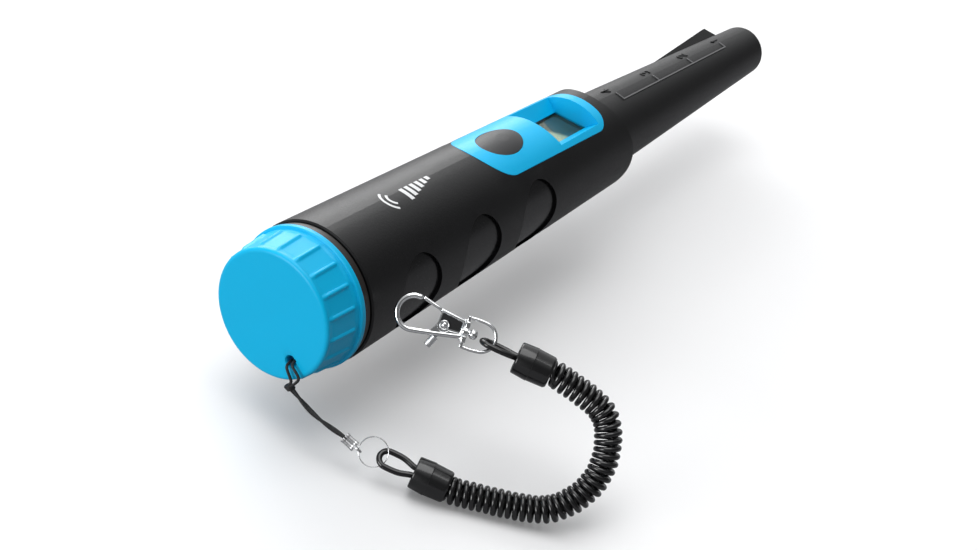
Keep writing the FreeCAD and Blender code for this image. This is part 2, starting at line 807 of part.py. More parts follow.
def board_components():
    """Processor, amplifier, power parts and trimmer on the board's top face."""
    return group(
        "board_components",
        chip("processor", along=116.5, across=-4.5, length=9, width=9, height=1.6),
        chip("amplifier", along=86, across=-8, length=5, width=4, height=1.5),
        chip("regulator", along=86, across=3, length=6, width=4, height=1.8),
        chip("trimmer", along=76, across=-9, length=5, width=5, height=3.2),
        chip("resonator", along=94, across=-9.5, length=4, width=2.5, height=1.2),
        can("capacitor", along=79, across=7, radius=2.5, height=5.5),
        can("filter_capacitor", along=92.5, across=8.5, radius=2.0, height=4.5),
    )


def tact_switch():
    """Body of the push switch under the button."""
    base = "board_bottom + board_thickness + fit_gap"
    body = box("switch_body", "switch_side", "switch_side", "switch_height",
               ("button_middle - switch_side / 2", "0 - switch_side / 2", base))
    bore = cylinder("switch_bore", "plunger_radius + fit_gap", 6,
                    ("button_middle", 0, "plunger_bottom - 0.35"))
    return cut("tact_switch", body, bore)


def tact_plunger():
    """Moving plunger of the switch."""
    return cylinder("tact_plunger", "plunger_radius", "plunger_top - plunger_bottom",
                    ("button_middle", 0, "plunger_bottom"))


def buzzer():
    """Round sounder glued under the chassis plate."""
    return cylinder("buzzer", "buzzer_radius", "buzzer_height",
                    ("buzzer_middle", 0, "chassis_bottom - fit_gap - buzzer_height"))


def vibration_motor():
    """Motor can with the bearing bore that its shaft turns in."""
    can = cylinder("motor_can", "motor_radius", "motor_length", ("motor_rear", 0, "motor_height"),
                   ALONG_X)
    bore = cylinder("motor_bore", "shaft_radius + fit_gap", 6,
                    ("motor_rear + motor_length - 4", 0, "motor_height"), ALONG_X)
    return cut("vibration_motor", can, bore)


def motor_shaft():
    """Shaft that runs in the can's bore."""
    return cylinder("motor_shaft", "shaft_radius", "3.8 + 1 + weight_length",
                    ("motor_rear + motor_length - 3.8", 0, "motor_height"), ALONG_X)


def motor_weight():
    """Half-round weight on the motor's shaft, which makes the vibration."""
    start = "motor_rear + motor_length + 0.8"
    disc = cylinder("weight_disc", "weight_radius", "weight_length", (start, 0, "motor_height"),
                    ALONG_X)
    spare = box("weight_spare", "weight_length + 2", 10, 5,
                (f"{start} - 1", -5, "motor_height + 1.1"))
    bore = cylinder("weight_bore", "shaft_radius", "weight_length + 2",
                    (f"{start} - 1", 0, "motor_height"), ALONG_X)
    return cut("motor_weight", disc, spare, bore)


# ---- probe ------------------------------------------------------------------------------------

def sleeve_radius(along, offset="0"):
    """Formula of the probe sleeve's outer radius at a place along X."""
    return (f"sleeve_rear_radius + {offset} - (sleeve_rear_radius - sleeve_tip_radius)"
            f" * (({along}) - sleeve_rear) / (total_length - sleeve_rear)")


def ruler_marks():
    """Raised depth scale: one line along the sleeve, with four cross ticks an inch apart."""
    slope = math.atan2(size("sleeve_rear_radius - sleeve_tip_radius"),
                       size("total_length - sleeve_rear"))
    turn = Rotation(Vector(1, 0, 0), size("ruler_angle"))
    lean = Rotation(Vector(0, 1, 0), math.degrees(slope))
    width, height = size("ruler_width"), size("ruler_height")
    first, length = size("ruler_first"), size("3 * ruler_pitch")
    bar = Part.makeBox(length + width, width, height + 1, Vector(-width / 2, -width / 2, -1))
    start = turn.multVec(Vector(first, 0, size(sleeve_radius("ruler_first"))))
    tick_turn = turn.multiply(ALONG_X).multiply(Rotation(Vector(0, 0, 1), 180))
    marks = [feature("ruler_line", bar, Placement(start, turn.multiply(lean)))]
    for number in range(4):
        along = f"ruler_first + {number} * ruler_pitch"
        radius = sleeve_radius(along, "ruler_height")
        tick = cylinder(f"ruler_tick_{number}", radius, "ruler_width",
                        (f"{along} - ruler_width / 2", 0, 0), tick_turn, "ruler_tick_span")
        marks.append(tick)
    return marks


def scraper_blade():
    """Thin digging fin on the sleeve's far side, tallest near the tip."""
    root = "0 - 1.5"
    body = padded_body("blade_body", "XZ_Plane", [
        ("blade_rear", f"{sleeve_radius('blade_rear')} + {root}"),
        ("blade_rear", sleeve_radius("blade_rear")),
        ("blade_peak", sleeve_radius("blade_peak", "blade_height")),
        ("blade_peak + 1.2", sleeve_radius("blade_peak + 1.2", "blade_height")),
        ("blade_front", sleeve_radius("blade_front")),
        ("blade_front", f"{sleeve_radius('blade_front')} + {root}"),
    ], "blade_thickness")
    turn = Rotation(Vector(1, 0, 0), size("blade_angle"))
    shift = turn.multVec(Vector(0, size("blade_thickness / 2"), 0))
    body.Placement = Placement(shift, turn)
    return body


def probe_sleeve():
    """Hollow tapered sleeve with a flange inside the handle, a round-edged tip and its marks."""
    outside = turned_body("sleeve_outside", [
        ("sleeve_rear", "0"),
        ("sleeve_rear", "sleeve_flange_radius"),
        ("sleeve_flange_end", "sleeve_flange_radius"),
        ("sleeve_flange_end", sleeve_radius("sleeve_flange_end")),
        ("total_length", "sleeve_tip_radius"),
        ("total_length", "0"),
    ])
    at_tip = lambda edge: (edge.BoundBox.XMin > size("total_length") - 0.1
                           and edge.BoundBox.DiagonalLength > 10)
    round_edges(outside, "sleeve_tip_edge", "sleeve_tip_round", at_tip)
    inner_end = "total_length - sleeve_tip_wall"
    inside = turned_body("sleeve_inside", [
        ("sleeve_rear - 1", "0"),
        ("sleeve_rear - 1", sleeve_radius("sleeve_rear - 1", "(0 - sleeve_wall)")),
        (inner_end, sleeve_radius(inner_end, "(0 - sleeve_wall)")),
        (inner_end, "0"),
    ])
    solid = fuse("sleeve_solid", outside, scraper_blade(), *ruler_marks())
    return cut("probe_sleeve", solid, inside)


def sleeve_gasket():
    """Flat sealing ring between the sleeve's flange and the handle's shoulder."""
    return tube_along_x("sleeve_gasket", "sleeve_flange_radius - 0.05", "sleeve_hole_radius",
                        "sleeve_flange_end + 0.04", "gasket_thickness")


def sleeve_nut():
    """Ring nut that clamps the sleeve's flange from inside the handle."""
    return tube_along_x("sleeve_nut", "nut_radius", "nut_bore_radius", "nut_rear", "nut_width")


def coil_former():
    """Bobbin that holds the rod and both windings."""
    tube = tube_along_x("former_tube", "former_radius", "former_bore", "former_rear",
                        "former_front - former_rear")
    width = "former_flange_width"
    starts = {
        "former_radius_rear": ("former_rear", "former_rear_radius"),
        "former_flange_1": (f"transmit_rear - {width} - 0.1", "former_flange_radius"),
        "former_flange_2": ("transmit_rear + coil_length + 0.1", "former_flange_radius"),
        "former_flange_3": (f"receive_rear - {width} - 0.1", "former_flange_radius"),
        "former_flange_4": ("receive_rear + coil_length + 0.1", "former_flange_radius"),
    }
    discs = [tube_along_x(name + "_disc", radius, "former_bore", start, width)
             for name, (start, radius) in starts.items()]
    return fuse("coil_former", tube, *discs)


def ferrite_rod():
    """Magnetic core of the sensing coils."""
    return cylinder("ferrite_rod", "rod_radius", "rod_length", ("rod_rear", 0, 0), ALONG_X)


def winding(name, start):
    """One copper winding on the former."""
    return tube_along_x(name, "coil_radius", "former_radius + fit_gap", start, "coil_length")


def tip_foam():
    """Foam disc that cushions the former in the tip."""
    return cylinder("tip_foam", "foam_radius", "foam_length", ("former_front + 0.1", 0, 0), ALONG_X)


def sensor_cable():
    """Cable from the coil former back to the board, through the sleeve."""
    board_end, former_end = size("board_front"), size("former_rear") - 0.1
    under_board = size("chassis_bottom + chassis_thickness + board_bottom") / 2
    at_former = 8.0
    points = [
        Vector(board_end - 2, 0, under_board + 0.05),
        Vector(board_end + 4, 0, under_board + 0.15),
        Vector((board_end + former_end) / 2 + 3.5, 0, at_former - 1.5),
        Vector(former_end, 0, at_former),
    ]
    return feature("sensor_cable", pipe(points, size("cable_radius")))


# ---- lanyard ----------------------------------------------------------------------------------

def lanyard_plane():
    """Placement of the lanyard's own plane: X right and Y up in that plane, Z towards a viewer."""
    turn = math.radians(size("lanyard_azimuth"))
    lift = math.radians(size("lanyard_elevation"))
    roll = Rotation(Vector(0, 0, 1), size("lanyard_roll"))
    right = Vector(math.cos(turn), math.sin(turn), 0)
    back = Vector(math.sin(turn) * math.cos(lift), -math.cos(turn) * math.cos(lift), math.sin(lift))
    facing = Rotation(right, back.cross(right), back)
    knot = Vector(size("knot_back"), size("knot_side"), size("knot_height"))
    return Placement(knot, facing.multiply(roll))


def in_plane(across, up, angle=0.0, tilt=0.0):
    """A place in the lanyard's plane, turned in that plane and then tilted about its own X."""
    turn = Rotation(Vector(0, 0, 1), angle).multiply(Rotation(Vector(1, 0, 0), tilt))
    return lanyard_plane().multiply(Placement(Vector(across, up, 0), turn))


def stadium(length, half_width):
    """Points of a long loop that starts and ends near x = 0 and reaches to x = length."""
    reach = length - half_width
    points = [Vector(0.5, half_width * 0.55, 0), Vector(reach * 0.5, half_width * 0.95, 0)]
    for step in range(5):
        angle = math.pi * (0.5 - step / 4)
        points.append(Vector(reach + half_width * math.cos(angle), half_width * math.sin(angle), 0))
    points += [Vector(reach * 0.5, -half_width * 0.95, 0), Vector(0.5, -half_width * 0.55, 0)]
    return points


def cord_loop_points(knot):
    """The thin loop: from the knot over the face's edge, in at the hole, round the bar and back."""
    radial = Rotation(Vector(1, 0, 0), size("eye_angle"))
    out = radial.multVec(Vector(0, 0, 1))
    side = radial.multVec(Vector(0, 1, 0))
    back = Vector(-1, 0, 0)
    spread = size("cord_spread")
    hole = out * size("eye_offset")
    edge = out * (size("cap_face_radius") - 0.4) + back * 1.5
    mouth = hole + out * 1.0 + back * 1.2
    inside = hole + out * 0.1 - back * 0.9
    beside_bar = hole - back * size("eye_bar_depth")
    behind_bar = hole - back * (size("eye_bar_depth") + spread)
    return [
        knot,
        edge + side * 0.8,
        mouth + side * 0.85,
        inside + side * (spread - 0.08),
        beside_bar + side * spread,
        behind_bar,
        beside_bar - side * spread,
        inside - side * (spread - 0.08),
        mouth - side * 0.85,
        edge - side * 0.8,
    ]


def lanyard_cord():
    """Doubled thin cord: a loop round the bar in the cap, a knot at the edge, then the crimp."""
    plane = lanyard_plane()
    knot = plane.Base + Vector(-0.9, 0, 0)
    crimp = Vector(size("crimp_x"), size("crimp_y"), 0)
    along = Rotation(Vector(0, 0, 1), size("crimp_angle")).multVec(Vector(1, 0, 0))
    end = crimp - along * (size("crimp_length") / 2 + 0.1)
    sag = end * 0.5 - Vector(0.6, 0.9, 0)
    run = pipe([knot, plane.multVec(sag), plane.multVec(end)], size("cord_run_radius"))
    bead = Part.makeSphere(size("cord_knot_radius"), knot)
    loop = pipe(cord_loop_points(knot), size("cord_loop_radius"), True)
    return feature("lanyard_cord", run.fuse(bead).fuse(loop))


def crimp_sleeve():
    """Pressed metal sleeve of two side-by-side tubes, with a small wire eye for the ring."""
    length, radius = size("crimp_length"), size("crimp_tube_radius")
    ahead = Vector(1, 0, 0)
    tubes = [Part.makeCylinder(radius, length, Vector(-length / 2, side * radius * 0.8, 0), ahead)
             for side in (-1, 1)]
    bow, wire = size("crimp_eye_radius"), size("crimp_eye_wire")
    eye = Part.makeTorus(bow, wire, Vector(length / 2 + bow - 0.3, 0, 0), Vector(0, 1, 0))
    solid = tubes[0].fuse([tubes[1], eye]).removeSplitter()
    return feature("crimp_sleeve", solid,
                   in_plane(size("crimp_x"), size("crimp_y"), size("crimp_angle")))


def split_ring():
    """Thin steel split ring."""
    ring = doc.addObject("Part::Torus", "split_ring")
    bind(ring, Radius1="ring_radius", Radius2="ring_wire")
    ring.Placement = in_plane(size("ring_x"), size("ring_y"))
    return ring


def cord_loop(name, across, up, tilt):
    """Plastic cord loop that leaves a ferrule's end face."""
    points = stadium(size("loop_length"), size("loop_half_width"))
    shape = pipe(points, size("loop_wire"))
    return feature(name, shape, in_plane(across, up, 180 + size("ferrule_angle"), tilt))


def ferrule(name, across, up):
    """Stepped end ferrule of the coiled cord; its local X runs from the loop to the coil."""
    radius, length = size("ferrule_radius"), size("ferrule_length")
    profile = [
        Vector(0.15, 0, 0),
        Vector(0.15, 0, radius * 0.93),
        Vector(length * 0.46, 0, radius),
        Vector(length * 0.46, 0, radius * 0.98),
        Vector(length - 0.5, 0, radius * 0.93),
        Vector(length, 0, radius * 0.84),
        Vector(length, 0, 0),
    ]
    wire = Part.makePolygon(profile + profile[:1])
    shape = Part.Face(wire).revolve(Vector(), Vector(1, 0, 0), 360)
    return feature(name, shape, in_plane(across, up, size("ferrule_angle")))


def coil_ends():
    """Where the coiled cord leaves each ferrule, and which way it heads."""
    angle = size("ferrule_angle")
    ahead = Rotation(Vector(0, 0, 1), angle).multVec(Vector(1, 0, 0))
    near = Vector(size("near_x"), size("near_y"), 0) + ahead * size("ferrule_length")
    far = Vector(size("far_x"), size("far_y"), 0) + ahead * size("ferrule_length")
    return near, far, ahead


def coil_cord():
    """Coiled plastic cord as a plain bent tube, from the near ferrule round to the far one."""
    near, far, ahead = coil_ends()
    middle = Vector(size("coil_middle_x"), size("coil_middle_y"), 0)
    bend = size("coil_bend_radius")
    points = [near + ahead * 0.1, near + ahead * 3]
    for angle in (-95, -65, -35, -5, 25):
        turn = math.radians(angle)
        points.append(middle + Vector(math.cos(turn), math.sin(turn), 0) * bend)
    points += [far + ahead * 3, far + ahead * 0.1]
    tube = pipe(points, size("cord_coil_radius")).cut(pipe(points, size("cord_coil_bore")))
    return feature("coil_cord", tube, lanyard_plane())


def swivel_eye():
    """D-shaped eye of the clasp: a drilled cross bar closed by a round bow of wire."""
    length, half, wire = size("dee_length"), size("dee_half_width"), size("dee_wire")
    bow = [Vector(0, half, 0)]
    reach = length - half
    bow.append(Vector(reach * 0.5, half * 1.04, 0))
    for step in range(5):
        angle = math.pi * (0.5 - step / 4)
        bow.append(Vector(reach + half * math.cos(angle), half * math.sin(angle), 0))
    bow += [Vector(reach * 0.5, -half * 1.04, 0), Vector(0, -half, 0)]
    bar = Part.makeBox(1.5, 2 * half + 1.4, 2.6, Vector(-0.75, -half - 0.7, -1.3))
    hole = Part.makeCylinder(size("post_radius") + 0.06, 4, Vector(-2, 0, 0), Vector(1, 0, 0))
    shape = bar.fuse(pipe(bow, wire)).cut(hole).removeSplitter()
    return feature("swivel_eye", shape, in_plane(size("dee_x"), size("dee_y"), size("dee_angle")))


def clasp_place():
    """The clasp's own frame: origin at the eye's bar, +X along the clasp to the hook's end."""
    return in_plane(size("dee_x"), size("dee_y"), 180 + size("dee_angle"))


def hook_points():
    """Centreline of the hook: from the body, round the eye, to the nose where the gate shuts."""
    eye = size("hook_eye_radius")
    middle = Vector(size("hook_eye_x"), size("hook_eye_y"), 0)
    points = [Vector(6.0, 2.3, 0), Vector(9.4, 3.05, 0)]
    for angle in (100, 65, 30, -5, -40, -75, -108):
        turn = math.radians(angle)
        points.append(middle + Vector(math.cos(turn) * eye, math.sin(turn) * eye, 0))
    return points


def flat_plate(corners, low, thickness):
    """A flat plate with the given corners, from a height up."""
    points = [Vector(along, across, low) for along, across in corners]
    return Part.Face(Part.makePolygon(points + points[:1])).extrude(Vector(0, 0, thickness))


def rivet_post(radius, low, high):
    """An upright post on the rivet's axis."""
    return Part.makeCylinder(radius, high - low, Vector(size("rivet_reach"), 0, low),
                             Vector(0, 0, 1))


def clasp_hook():
    """Hook and body of the clasp, with the swivel post that turns in the eye's bar."""
    root, half, end = size("hook_root_half_width"), size("hook_wire"), size("hook_body_length")
    corners = [(1.0, -root), (1.0, root), (end, root + 0.9), (end, -root - 0.9)]
    plate = flat_plate(corners, -half, 2 * half)
    collar = Part.makeBox(0.9, 2 * root, 2 * half + 0.4, Vector(0.85, -root, -half - 0.2))
    ahead = Vector(1, 0, 0)
    post = Part.makeCylinder(size("post_radius"), 2.3, Vector(-1.2, 0, 0), ahead)
    head_length = size("post_head_length")
    head = Part.makeCylinder(size("post_head_radius"), head_length,
                             Vector(-0.85 - head_length, 0, 0), ahead)
    nose_side = Part.makeBox(20, 6, 6, Vector(0, -9, -3))
    gate_sweep = rivet_post(size("gate_tip_reach") + 0.07, -3, 3).common(nose_side)
    hook = pipe(hook_points(), half).cut(gate_sweep)
    hole = rivet_post(size("rivet_radius") + 0.06, -3, 3)
    shape = plate.fuse([collar, post, head, hook]).cut(hole).removeSplitter()
    return feature("clasp_hook", shape, clasp_place())


def clasp_gate():
    """Spring gate: a plate on the rivet, the bar that shuts the hook, and a thumb lever."""
    reach, thick = size("rivet_reach"), size("gate_thickness")
    low = size("hook_wire") + 0.06
    plate = rivet_post(1.7, low, low + thick)
    arm = flat_plate([(reach - 1.5, -0.8), (7.0, -4.0), (9.4, -4.5), (reach + 1.6, 0.2)],
                     low, thick)
    bar_start = Vector(8.15, -3.75, 0.45)
    bar = Part.makeCylinder(size("gate_bar_radius"), 7.0, bar_start, Vector(1, -0.3, 0))
    bar = bar.common(rivet_post(size("gate_tip_reach"), -3, 3))
    lever = flat_plate([(reach - 0.9, 0), (reach + 1.2, 0), (9.4, 4.6), (7.2, 4.9)], low, thick)
    thumb = Part.makeBox(2.3, 2.6, low + thick + 1.0, Vector(7.1, 4.3, -1.0))
    shape = plate.fuse([arm, bar, lever, thumb])
    shape = shape.cut(rivet_post(size("rivet_radius") + 0.06, -3, 3)).removeSplitter()
    return feature("clasp_gate", shape, clasp_place())


def gate_rivet():
    """Rivet that the gate turns on."""
    half = size("hook_wire")
    top = half + size("gate_thickness") + 0.12
    shank = rivet_post(size("rivet_radius"), -half - 0.1, top)
    low_head = rivet_post(1.3, -half - 0.4, -half - 0.05)
    high_head = rivet_post(1.3, top, top + 0.45)
    return feature("gate_rivet", shank.fuse([low_head, high_head]).removeSplitter(),
                   clasp_place())


# ---- build, check and write -------------------------------------------------------------------

def build():
    """Make every piece, in the order of the bench: handle, inside, probe, lanyard."""
    near = size("near_x"), size("near_y")
    far = size("far_x"), size("far_y")
    return [
        handle_barrel(), display_bezel(), display_window(), power_button(), lcd_panel(),
        lcd_backlight(), main_board(), board_components(), board_screws(), tact_switch(),
        tact_plunger(), chassis(), buzzer(), vibration_motor(), motor_shaft(), motor_weight(),
        battery(), battery_tray(), battery_snap(), battery_leads(), probe_sleeve(),
        sleeve_gasket(), sleeve_nut(), coil_former(), ferrite_rod(),
        winding("transmit_coil", "transmit_rear"), winding("receive_coil", "receive_rear"),
        tip_foam(), sensor_cable(), end_cap(), cap_seal(), battery_pad(), lanyard_cord(),
        crimp_sleeve(), split_ring(), cord_loop("near_loop", *near, size("near_loop_tilt")),
        ferrule("near_ferrule", *near), coil_cord(), ferrule("far_ferrule", *far),
        cord_loop("far_loop", *far, size("far_loop_tilt")), swivel_eye(), clasp_hook(),
        clasp_gate(), gate_rivet(),
    ]


def check_and_write(nodes):
    """Refuse a failed object, an empty or invalid shape, then write each node's STEP file."""
    failed = [item.Name for item in doc.Objects if {"Invalid", "Error"} & set(item.State)]
    bad = [node.Label for node in nodes if node.Shape.isNull() or not node.Shape.isValid()]
    if failed or bad:
        raise RuntimeError(f"failed objects: {failed}; bad shapes: {bad}")
    os.makedirs("parts", exist_ok=True)
    for node in nodes:
        node.Shape.exportStep(f"parts/{node.Label}.step")
        print(f"{node.Label:18s} solids {len(node.Shape.Solids)} volume {node.Shape.Volume:.1f}")


fill_sheet()
pieces = build()
doc.recompute()
check_and_write(pieces)
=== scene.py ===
import json
import math

import bmesh
import bpy
from mathutils import Matrix, Vector

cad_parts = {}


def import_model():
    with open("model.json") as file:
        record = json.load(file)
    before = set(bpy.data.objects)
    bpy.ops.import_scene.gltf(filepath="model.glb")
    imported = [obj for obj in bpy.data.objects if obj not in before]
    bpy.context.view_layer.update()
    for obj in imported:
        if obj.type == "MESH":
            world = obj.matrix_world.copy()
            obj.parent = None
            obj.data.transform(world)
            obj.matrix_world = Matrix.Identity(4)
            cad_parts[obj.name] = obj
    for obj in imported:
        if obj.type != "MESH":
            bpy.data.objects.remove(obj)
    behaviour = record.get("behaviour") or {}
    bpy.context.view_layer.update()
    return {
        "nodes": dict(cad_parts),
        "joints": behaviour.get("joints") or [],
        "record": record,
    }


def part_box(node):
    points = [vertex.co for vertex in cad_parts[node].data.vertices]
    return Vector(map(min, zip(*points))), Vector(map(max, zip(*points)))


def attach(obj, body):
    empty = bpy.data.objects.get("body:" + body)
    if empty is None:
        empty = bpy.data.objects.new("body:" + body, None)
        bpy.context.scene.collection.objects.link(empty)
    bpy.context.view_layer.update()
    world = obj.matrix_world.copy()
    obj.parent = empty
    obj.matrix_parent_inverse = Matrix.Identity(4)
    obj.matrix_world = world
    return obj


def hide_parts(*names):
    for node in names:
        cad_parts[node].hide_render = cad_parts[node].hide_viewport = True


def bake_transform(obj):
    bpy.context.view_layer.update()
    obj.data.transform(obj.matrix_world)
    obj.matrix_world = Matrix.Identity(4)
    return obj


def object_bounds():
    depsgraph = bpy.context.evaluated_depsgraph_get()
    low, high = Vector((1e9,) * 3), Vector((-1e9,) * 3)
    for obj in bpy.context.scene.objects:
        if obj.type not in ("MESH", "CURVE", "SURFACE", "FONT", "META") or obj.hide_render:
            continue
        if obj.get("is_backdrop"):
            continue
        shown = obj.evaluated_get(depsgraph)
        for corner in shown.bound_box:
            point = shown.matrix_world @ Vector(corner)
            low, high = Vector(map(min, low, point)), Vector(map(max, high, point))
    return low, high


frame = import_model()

MM = 0.001
NODES = frame["nodes"]
JOINTS = {joint["name"]: joint for joint in frame["joints"]}
RECORD = frame["record"]
SLOT_OF = {part["node"]: part["material_slot"] for part in RECORD["subparts"]}


# ---- mesh helpers (millimetres in, metres out) --------------------------------------------------

def mesh_object(name, verts, faces, place=None, uvs=None, sharp=32.0):
    """A smooth-shaded mesh from points in millimetres, put in place by a matrix."""
    mesh = bpy.data.meshes.new(name)
    points = [(place @ Vector(v) if place else Vector(v)) * MM for v in verts]
    mesh.from_pydata(points, [], faces)
    if uvs:
        layer = mesh.uv_layers.new(name="UVMap")
        for loop in mesh.loops:
            layer.data[loop.index].uv = uvs[loop.index]
    shell = bmesh.new()
    shell.from_mesh(mesh)
    bmesh.ops.recalc_face_normals(shell, faces=shell.faces)
    shell.to_mesh(mesh)
    shell.free()
    mesh.update()
    mesh.shade_smooth()
    mesh.set_sharp_from_angle(angle=math.radians(sharp))
    obj = bpy.data.objects.new(name, mesh)
    bpy.context.scene.collection.objects.link(obj)
    return obj


def flipped(faces):
    """The same faces wound the other way."""
    return [tuple(reversed(face)) for face in faces]


def lathe(rows, sides, radius_at=None):
    """A closed body of revolution about X from rows of (x, radius), flat at both ends."""
    verts, faces = [], []
    for x, radius in rows:
        for step in range(sides):
            angle = 2 * math.pi * step / sides
            r = radius_at(x, radius, angle) if radius_at else radius
            verts.append((x, -r * math.sin(angle), r * math.cos(angle)))
    for row in range(len(rows) - 1):
        low, high = row * sides, (row + 1) * sides
        for step in range(sides):
            after = (step + 1) % sides
            faces.append((low + step, high + step, high + after, low + after))
    faces.append(tuple(range(sides)))
    last = (len(rows) - 1) * sides
    faces.append(tuple(last + step for step in reversed(range(sides))))
    return verts, faces


def rounded(corners, steps=5):
    """Profile corners (x, r, fillet) with each fillet drawn as a smooth curve."""
    out = []
    for place, (x, r, fillet) in enumerate(corners):
        if fillet <= 0 or place in (0, len(corners) - 1):
            out.append((x, r))
            continue
        here = Vector((x, r))
        before = Vector(corners[place - 1][:2]) - here
        after = Vector(corners[place + 1][:2]) - here
        start, end = here + before.normalized() * fillet, here + after.normalized() * fillet
        for step in range(steps + 1):
            t = step / steps
            point = start * (1 - t) ** 2 + here * 2 * t * (1 - t) + end * t * t
            out.append((point.x, point.y))
    return out


def curve_through(points, steps=8, closed=False):
    """A smooth Catmull-Rom curve through the points."""
    pts = [Vector(p) for p in points]
    count = len(pts)
    out = []
    for i in range(count if closed else count - 1):
        p1, p2 = pts[i], pts[(i + 1) % count]
        p0 = pts[(i - 1) % count] if closed or i > 0 else p1 * 2 - p2
        p3 = pts[(i + 2) % count] if closed or i + 2 < count else p2 * 2 - p1
        for step in range(steps):
            t = step / steps
            out.append(0.5 * (2 * p1 + (p2 - p0) * t + (2 * p0 - 5 * p1 + 4 * p2 - p3) * t * t
                              + (3 * p1 - p0 - 3 * p2 + p3) * t ** 3))
    if not closed:
        out.append(pts[-1])
    return out


def sweep(points, radius, sides=12, closed=False, round_ends=True):
    """A round tube along the points, with UVs: u round the tube, v its length in mm."""
    pts = [Vector(p) for p in points]
    radii = [radius] * len(pts)
    if round_ends and not closed:
        first, last = (pts[0] - pts[1]).normalized(), (pts[-1] - pts[-2]).normalized()
        head = [(pts[0] + first * radius * k, radius * math.sqrt(1 - k * k)) for k in (0.95, 0.7, 0.4)]
        tail = [(pts[-1] + last * radius * k, radius * math.sqrt(1 - k * k)) for k in (0.4, 0.7, 0.95)]
        pts = [p for p, _ in head] + pts + [p for p, _ in tail]
        radii = [r for _, r in head] + radii + [r for _, r in tail]
    count = len(pts)
    tangents = []
    for i in range(count):
        after = pts[(i + 1) % count] if closed or i + 1 < count else pts[i]
        before = pts[i - 1] if closed or i > 0 else pts[i]
        tangents.append((after - before).normalized())
    normal = tangents[0].orthogonal().normalized()
    frames = []
    for tangent in tangents:
        normal = (normal - tangent * normal.dot(tangent)).normalized()
        frames.append((normal.copy(), tangent.cross(normal)))
    twist = 0.0
    if closed:
        back = (frames[-1][0] - tangents[0] * frames[-1][0].dot(tangents[0])).normalized()
        twist = math.atan2(back.dot(frames[0][1]), back.dot(frames[0][0]))
    verts, lengths, total = [], [], 0.0
    for i, (a, b) in enumerate(frames):
        if i:
            total += (pts[i] - pts[i - 1]).length
        lengths.append(total)
        shift = -twist * i / count
        for step in range(sides):
            angle = 2 * math.pi * step / sides + shift
            verts.append(pts[i] + (a * math.cos(angle) + b * math.sin(angle)) * radii[i])
    faces, uvs = [], []
    for i in range(count if closed else count - 1):
        low, high = i * sides, ((i + 1) % count) * sides
        v0 = lengths[i]
        v1 = lengths[i + 1] if i + 1 < count else total + (pts[0] - pts[-1]).length
        for step in range(sides):
            after = (step + 1) % sides
            faces.append((low + step, low + after, high + after, high + step))
            u0, u1 = step / sides, (step + 1) / sides
            uvs += [(u0, v0), (u1, v0), (u1, v1), (u0, v1)]
    if not closed:
        faces.append(tuple(reversed(range(sides))))
        faces.append(tuple((count - 1) * sides + step for step in range(sides)))
        uvs += [(0.5, 0.0)] * sides + [(0.5, total)] * sides
    return verts, faces, uvs


def join(*bodies):
    """Several (verts, faces, uvs) as one."""
    verts, faces, uvs = [], [], []
    for body in bodies:
        base = len(verts)
        verts += list(body[0])
        faces += [tuple(base + k for k in face) for face in body[1]]
        if len(body) > 2:
            uvs += body[2]
        else:
            uvs += [(0.0, 0.0)] * sum(len(face) for face in body[1])
    return verts, faces, uvs


def smooth_step(low, high, value):
    """0 below low, 1 above high, with a smooth rise between."""
    t = min(1.0, max(0.0, (value - low) / (high - low)))
    return t * t * (3 - 2 * t)


# ---- material helpers ---------------------------------------------------------------------------

def add(tree, kind, inputs=None, **settings):
    """A node with its settings, and its inputs set or linked."""
    node = tree.nodes.new("ShaderNode" + kind)
    for key, value in settings.items():
        setattr(node, key, value)
    for key, value in (inputs or {}).items():
        if isinstance(value, bpy.types.NodeSocket):
            tree.links.new(value, node.inputs[key])
        else:
            node.inputs[key].default_value = value
    return node


def calc(tree, operation, first, second=0.0, third=0.0):
    """One arithmetic node's result."""
    node = add(tree, "Math", {0: first, 1: second, 2: third}, operation=operation)
    return node.outputs[0]


def rgba(colour, factor=1.0):
    """A colour scaled, with full alpha."""
    return tuple(min(1.0, c * factor) for c in colour[:3]) + (1.0,)


class Finish:
    """A procedural surface: colour and roughness that vary, with fine grain in the bump."""

    def __init__(self, name, colour, roughness, metallic=0.0, grain=1800.0, bump=0.05,
                 spread=0.12, rough_spread=0.06, broad=45.0, coat=0.0, specular=0.5):
        self.material = bpy.data.materials.new(name)
        self.material.use_nodes = True
        tree = self.tree = self.material.node_tree
        self.shader = tree.nodes["Principled BSDF"]
        self.place = add(tree, "TexCoord").outputs["Object"]
        wide = add(tree, "TexNoise", {"Vector": self.place, "Scale": broad, "Detail": 4.0})
        fine = add(tree, "TexNoise", {"Vector": self.place, "Scale": grain, "Detail": 3.0})
        self.wide, self.fine = wide.outputs["Fac"], fine.outputs["Fac"]
        mixed = add(tree, "Mix", {"Factor": self.wide, 6: rgba(colour, 1 - spread),
                                  7: rgba(colour, 1 + spread)}, data_type="RGBA")
        self.colour = mixed.outputs[2]
        rough = add(tree, "MapRange", {"Value": self.fine, "From Min": 0.3, "From Max": 0.7,
                                       "To Min": roughness - rough_spread,
                                       "To Max": roughness + rough_spread})
        self.rough = rough.outputs[0]
        self.bump = add(tree, "Bump", {"Height": self.fine, "Strength": bump,
                                       "Distance": 0.0002})
        self.set(**{"Base Color": self.colour, "Roughness": self.rough,
                    "Normal": self.bump.outputs[0]})
        self.shader.inputs["Metallic"].default_value = metallic
        self.shader.inputs["Coat Weight"].default_value = coat
        self.shader.inputs["Coat Roughness"].default_value = 0.12
        self.shader.inputs["Specular IOR Level"].default_value = specular

    def set(self, **sockets):
        """Link shader inputs to node outputs."""
        for key, value in sockets.items():
            self.tree.links.new(value, self.shader.inputs[key])


